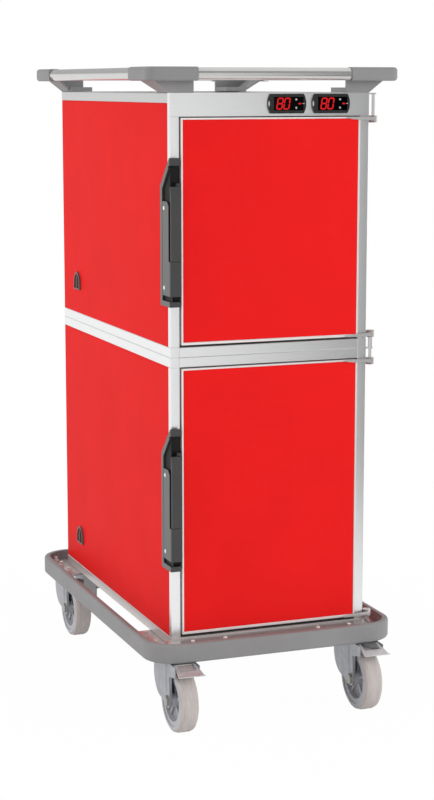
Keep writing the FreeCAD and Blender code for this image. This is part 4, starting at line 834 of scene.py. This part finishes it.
class CART_OT_castors(CartOperator):
    """Finish the castors."""
    bl_idname = "cart.castors"
    bl_label = "Castors"

    window_reach: length("Window reach", 0.035, "From a pedal's lip to the middle of its window")
    window_drop: length("Window drop", 0.0061, "From a pedal's top to the sheet under its window")
    window_half: pair("Window half", (0.0175, 0.0125), "Half width and length of the sheet")
    window_slope: amount("Window slope", 0.286, "Fall of the pedal's plate")
    leg_half: length("Leg half", 0.0237, "From a wheel's middle to the outside of its fork")
    cheek_sheet: length("Cheek sheet", 0.0012, "Thickness of a fork's cheeks")
    cheek_top: length("Cheek top", 0.071, "From the axle to the top of a cheek")
    cheek_middle: pair("Cheek middle", (0.038, 0.0425), "Centre of the cheek's oval from the axle")
    cheek_radii: pair("Cheek radii", (0.0405, 0.046), "Half length and height of the cheek's oval")
    boss_radius: length("Boss radius", 0.014, "Rounding of a cheek round the axle")
    arm_root: pair("Arm root", (-0.009, 0.0495), "Low start of a brake arm from the axle")
    arm_end: pair("Arm end", (-0.044, 0.0565), "Low end of a brake arm from the axle")
    arm_top: length("Arm top", 0.0765, "From the axle to the top of a brake arm")
    ring_lean: amount("Ring lean", 0.7, "Least sideways lean of a wheel rim's faces")
    web_half: length("Web half", 0.009, "Half thickness of a hub's web")

    def execute(self, context):
        finished("castor_head_plates", "zinc_plate")
        for end in ENDS:
            for side in SIDES:
                name = end + "_" + side
                self.fork(name + "_castor_fork")
                self.wheel(name + "_wheel")
                self.cheeks(name, end == "front")
                if end == "front":
                    # Pedals get the lighter zinc as painted light.
                    softened(name + "_brake_pedal", sizes().sheet_edge, "pedal_plate")
                    self.pedal_floor(name + "_brake_pedal")
        return {"FINISHED"}

    def pedal_floor(self, node):
        """Thin sloped sheet under the window of a brake pedal, coloured darker and warmer than the pedal:
        painted shade with a painted reflection.
        """
        low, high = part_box(node)
        x = (low.x + high.x) / 2
        y = low.y + self.window_reach
        z = high.z - self.window_drop
        half_x, half_y = self.window_half
        rise = half_y * self.window_slope
        shell = bmesh.new()
        add_prism(shell, [(x - half_x, y - half_y, z - rise), (x + half_x, y - half_y, z - rise),
                          (x + half_x, y + half_y, z + rise), (x - half_x, y + half_y, z + rise)],
                  (0.0, 0.0, -sizes().sheet_edge))
        from_bmesh(node + "_floor", shell, "pedal_floor", node)

    def cheek_outline(self, braked):
        """Side view of a cheek round the axle, drawn forward over the brake where there is one."""
        middle_y, middle_z = self.cheek_middle
        radius_y, radius_z = self.cheek_radii
        turns = [math.pi / 2 * k / ARC_STEPS for k in range(ARC_STEPS + 1)]
        ring = [(middle_y + radius_y, self.cheek_top)]
        ring += [(middle_y + radius_y * math.cos(turn), middle_z - radius_z * math.sin(turn))
                 for turn in turns]
        ring += [(-self.boss_radius * math.sin(turn), -self.boss_radius * math.cos(turn)) for turn in turns]
        ring.append(tuple(self.arm_root))
        if braked:
            end_y, end_z = self.arm_end
            ring += [(end_y, end_z), (end_y, self.arm_top), (0.0, self.arm_top)]
        ring.append((0.0, self.cheek_top))
        return ring

    def cheeks(self, name, braked):
        """Pressed cheeks on the outside of both fork legs."""
        node = name + "_castor_fork"
        axle = middle_of(name + "_wheel")
        ring = self.cheek_outline(braked)
        shell = bmesh.new()
        for side in (-1.0, 1.0):
            x = axle.x + side * self.leg_half
            corners = [(x, axle.y + y, axle.z + z) for y, z in ring]
            add_prism(shell, corners, (side * self.cheek_sheet, 0.0, 0.0))
        from_bmesh(node + "_cheeks", shell, "zinc_plate", node)

    def fork(self, node):
        """Zinc fork with a steel axle bolt."""
        piece = softened(node, sizes().sheet_edge, "zinc_plate")
        axle = middle_of(node.replace("castor_fork", "wheel"))

        def on_bolt(face):
            radius = math.hypot(face.center.y - axle.y, face.center.z - axle.z)
            return radius < self.boss_radius and abs(face.center.x - axle.x) > self.leg_half
        paint(piece, "axle_steel", on_bolt)

    def wheel(self, node):
        """Grey tyre with rounded shoulders on a bluish hub, with a painted highlight on its flat rings and
        painted shade in its sunk webs.
        """
        piece = softened(node, sizes().tyre_edge, "tyre_rubber", segments=3, angle=14.0)
        centre = middle_of(node)
        rim = sizes().rim_radius

        def radius(face):
            return math.hypot(face.center.y - centre.y, face.center.z - centre.z)
        paint(piece, "wheel_hub", lambda face: radius(face) < rim)
        # Recessed web faces of the hub get painted shade.
        paint(piece, "wheel_web",
              lambda face: radius(face) < rim and abs(face.center.x - centre.x) < self.web_half)
        # Sideways-facing flat rings of the hub get a painted highlight.
        paint(piece, "wheel_rim",
              lambda face: abs(face.normal.x) > self.ring_lean and sizes().dish_radius < radius(face) < rim)


class CART_OT_compartments(CartOperator):
    """Finish the runners and the heating gear."""
    bl_idname = "cart.compartments"
    bl_label = "Compartments"

    def execute(self, context):
        places = []
        for level in LEVELS:
            finished(level + "_runners", "aluminium_y")
            finished(level + "_heater_cover", "aluminium_x")
            finished(level + "_fan_wheel", "aluminium_x")
            low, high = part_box(level + "_heater_cover")
            places.append(((low.x + high.x) / 2, low.y, (low.z + high.z) / 2))
        scattered("fan_grilles", places, grille_tree(), "fan_motors", Rings=sizes().grille_rings,
                  Spokes=sizes().grille_spokes, Radius=sizes().grille_radius, Wire=sizes().grille_wire,
                  Material=material("bolt_steel"))
        finished("heating_elements", "heating_element")
        finished("fan_motors", "motor_paint")
        finished("side_vents", "vent_moulding")
        return {"FINISHED"}


class CART_OT_stage(CartOperator):
    """Set the floor, the studio light and the camera."""
    bl_idname = "cart.stage"
    bl_label = "Stage"

    camera_place: spot("Camera place", (-1.3514, -3.5974, 1.2182), "Where the camera stands")
    camera_yaw: tilt("Camera yaw", math.radians(20.829), "Turn to the right")
    camera_pitch: tilt("Camera pitch", math.radians(9.5), "Tilt down")
    focal_pixels: amount("Focal length in pixels", 1884.19, "Focal length over pixel size")
    floor_size: length("Floor size", 20.0, "Half width of the floor")
    floor_grey: amount("Floor grey", 0.9, "Brightness of the floor under the cart")
    floor_glow: amount("Floor glow", 0.98, "Share of plain white in the near floor")
    fade_start: length("Fade start", 0.8, "Where the floor starts to fade")
    fade_end: length("Fade end", 2.0, "Where the floor is plain white")
    ambient: amount("Ambient", 0.62, "Strength of the light from all sides")
    lamp_size: length("Lamp size", 2.6, "Width of the soft lamps")
    aim_height: length("Aim height", 0.65, "Height at which the lamps aim")
    key_place: spot("Key place", (-3.6, 0.4, 2.4), "Where the left lamp stands")
    fill_place: spot("Fill place", (2.6, -3.2, 1.6), "Where the right lamp stands")
    key_watts: amount("Key", 58.0, "Power of the left lamp")
    fill_watts: amount("Fill", 78.0, "Power of the right lamp")
    card_x: length("Card edge", 1.35, "Left edge of the dark cards")
    card_reach: length("Card reach", 4.0, "Width of the cards")
    card_y: position("Card depth", -3.3, "Where the cards stand")
    card_lift: length("Card lift", 0.002, "Gap from the floor to the cards")
    card_top: length("Card top", 2.4, "Top of the dark card")
    screen_left: position("Screen edge", -6.65, "Left edge of the grey screen")
    screen_rise: pair("Screen rise", (1.75, 5.0), "Low and high edges of the grey screen")
    floor_card_x: length("Floor card edge", 0.95, "Left edge of the card on the floor")
    floor_card_y: position("Floor card end", -1.0, "Rear edge of the card on the floor")
    card_grey: amount("Card grey", 0.02, "Brightness of the dark cards")
    rear_screen_y: length("Rear screen depth", 4.0, "Where the screen behind the cart stands")
    rear_screen_rise: pair("Rear screen rise", (1.55, 3.2), "Low and high edges of the rear screen")
    rear_grey: amount("Rear screen grey", 0.46, "Brightness of the rear screen")
    screen_grey: amount("Screen grey", 0.25, "Brightness of the grey screen")

    def execute(self, context):
        self.floor()
        self.world()
        self.lights()
        self.cards()
        self.camera()
        context.scene.view_settings.view_transform = "Standard"
        return {"FINISHED"}

    def floor(self):
        """Pale floor that keeps a shadow near the cart and fades into the white background."""
        shell = bmesh.new()
        bmesh.ops.create_grid(shell, x_segments=1, y_segments=1, size=self.floor_size)
        mesh = bpy.data.meshes.new("floor")
        shell.to_mesh(mesh)
        shell.free()
        made, tree, shader = new_material("floor_white", (self.floor_grey,) * 3, roughness=0.9, specular=0.1)
        glow = add_node(tree, "ShaderNodeEmission", Color=WHITE, Strength=1.0)
        place = add_node(tree, "ShaderNodeTexCoord")
        distance = add_node(tree, "ShaderNodeVectorMath", operation="LENGTH", Vector=place.outputs["Object"])
        fade = add_node(tree, "ShaderNodeMapRange", Value=distance.outputs["Value"],
                        From_Min=self.fade_start, From_Max=self.fade_end, To_Min=self.floor_glow, To_Max=1.0)
        share = calculate(tree, "MULTIPLY", fade.outputs["Result"], seen_directly(tree))
        blend(tree, share, shader.outputs["BSDF"], glow.outputs["Emission"], tree.nodes["Material Output"])
        mesh.materials.append(made)
        link("floor", mesh)

    def world(self):
        made = bpy.data.worlds.new("studio")
        made.use_nodes = True
        tree = made.node_tree
        ambient = tree.nodes["Background"]
        ambient.inputs["Color"].default_value = WHITE
        ambient.inputs["Strength"].default_value = self.ambient
        plain = add_node(tree, "ShaderNodeBackground", Color=WHITE, Strength=1.0)
        blend(tree, seen_directly(tree), ambient.outputs["Background"], plain.outputs["Background"],
              tree.nodes["World Output"])
        bpy.context.scene.world = made

    def lights(self):
        """Large soft lamps that give the faces their shading and no mirror images."""
        aim = Vector((0.0, 0.0, self.aim_height))
        for name, place, watts in (("key", self.key_place, self.key_watts),
                                   ("fill", self.fill_place, self.fill_watts)):
            lamp = bpy.data.lights.new(name, "AREA")
            lamp.size = self.lamp_size
            lamp.energy = watts
            made = link(name, lamp)
            made.location = place
            made.rotation_euler = (aim - Vector(place)).to_track_quat("-Z", "Y").to_euler()
            made.visible_glossy = False

    def cards(self):
        """Dark cards at the right and grey screens high in front and behind, for the metal to mirror."""
        x0, x1 = self.card_x, self.card_x + self.card_reach
        y = self.card_y
        lift = self.card_lift
        dark = emitter("card_dark", self.card_grey)
        grey = emitter("card_grey", self.screen_grey)
        pale = emitter("card_pale", self.rear_grey)
        stand_up("card_right", wall(x0, x1, y, lift, self.card_top), dark)
        stand_up("card_floor", deck(self.floor_card_x, x1, y, self.floor_card_y, lift), dark)
        stand_up("card_high", wall(self.screen_left, x1, y, *self.screen_rise), grey)
        stand_up("card_rear", wall(-x1, x1, self.rear_screen_y, *self.rear_screen_rise), pale)

    def camera(self):
        lens = bpy.data.cameras.new("camera")
        lens.sensor_width = SENSOR_WIDTH
        lens.lens = self.focal_pixels / IMAGE_HEIGHT * SENSOR_WIDTH
        lens.clip_end = CLIP_END
        made = link("camera", lens)
        made.location = self.camera_place
        made.rotation_euler = (math.pi / 2 - self.camera_pitch, 0.0, -self.camera_yaw)
        bpy.context.scene.camera = made


def emitter(name, grey):
    """Even grey that takes no light."""
    made, _, shader = new_material(name, (0.0, 0.0, 0.0), roughness=1.0, specular=0.0)
    shader.inputs["Emission Color"].default_value = WHITE
    shader.inputs["Emission Strength"].default_value = grey
    return made


def stand_up(name, corners, made):
    """Card of the stage that only mirrors show."""
    mesh = bpy.data.meshes.new(name)
    mesh.from_pydata(corners, [], [tuple(range(len(corners)))])
    mesh.materials.append(made)
    piece = link(name, mesh)
    piece.visible_camera = False
    piece.visible_diffuse = False
    piece.visible_shadow = False


def seen_directly(tree):
    """1 for camera, glossy and transmission rays."""
    path = add_node(tree, "ShaderNodeLightPath").outputs
    straight = calculate(tree, "MAXIMUM", path["Is Camera Ray"], path["Is Glossy Ray"])
    return calculate(tree, "MAXIMUM", straight, path["Is Transmission Ray"])


def blend(tree, share, first, second, output):
    """Mixes two shaders by a share into an output's surface."""
    mix = add_node(tree, "ShaderNodeMixShader", Fac=share)
    tree.links.new(first, mix.inputs[1])
    tree.links.new(second, mix.inputs[2])
    tree.links.new(mix.outputs["Shader"], output.inputs["Surface"])


class CART_PT_sidebar(bpy.types.Panel):
    """Lists the cart's dressing steps."""
    bl_idname = "CART_PT_sidebar"
    bl_label = "Food Transport Cart"
    bl_space_type = "VIEW_3D"
    bl_region_type = "UI"
    bl_category = "Cart"

    def draw(self, context):
        for operator in OPERATORS:
            self.layout.operator(operator.bl_idname)


OPERATORS = (CART_OT_frame, CART_OT_panels, CART_OT_doors, CART_OT_handles, CART_OT_controls, CART_OT_rail,
             CART_OT_chassis, CART_OT_castors, CART_OT_compartments, CART_OT_stage)
CLASSES = (CartFinishes, CartSizes, *OPERATORS, CART_PT_sidebar)


def register():
    for made in CLASSES:
        bpy.utils.register_class(made)
    bpy.types.Scene.cart_finishes = PointerProperty(type=CartFinishes)
    bpy.types.Scene.cart_sizes = PointerProperty(type=CartSizes)


def unregister():
    del bpy.types.Scene.cart_sizes
    del bpy.types.Scene.cart_finishes
    for made in reversed(CLASSES):
        bpy.utils.unregister_class(made)


def main():
    register()
    for operator in OPERATORS:
        group, step = operator.bl_idname.split(".")
        getattr(getattr(bpy.ops, group), step)()


if __name__ == "__main__":
    main()
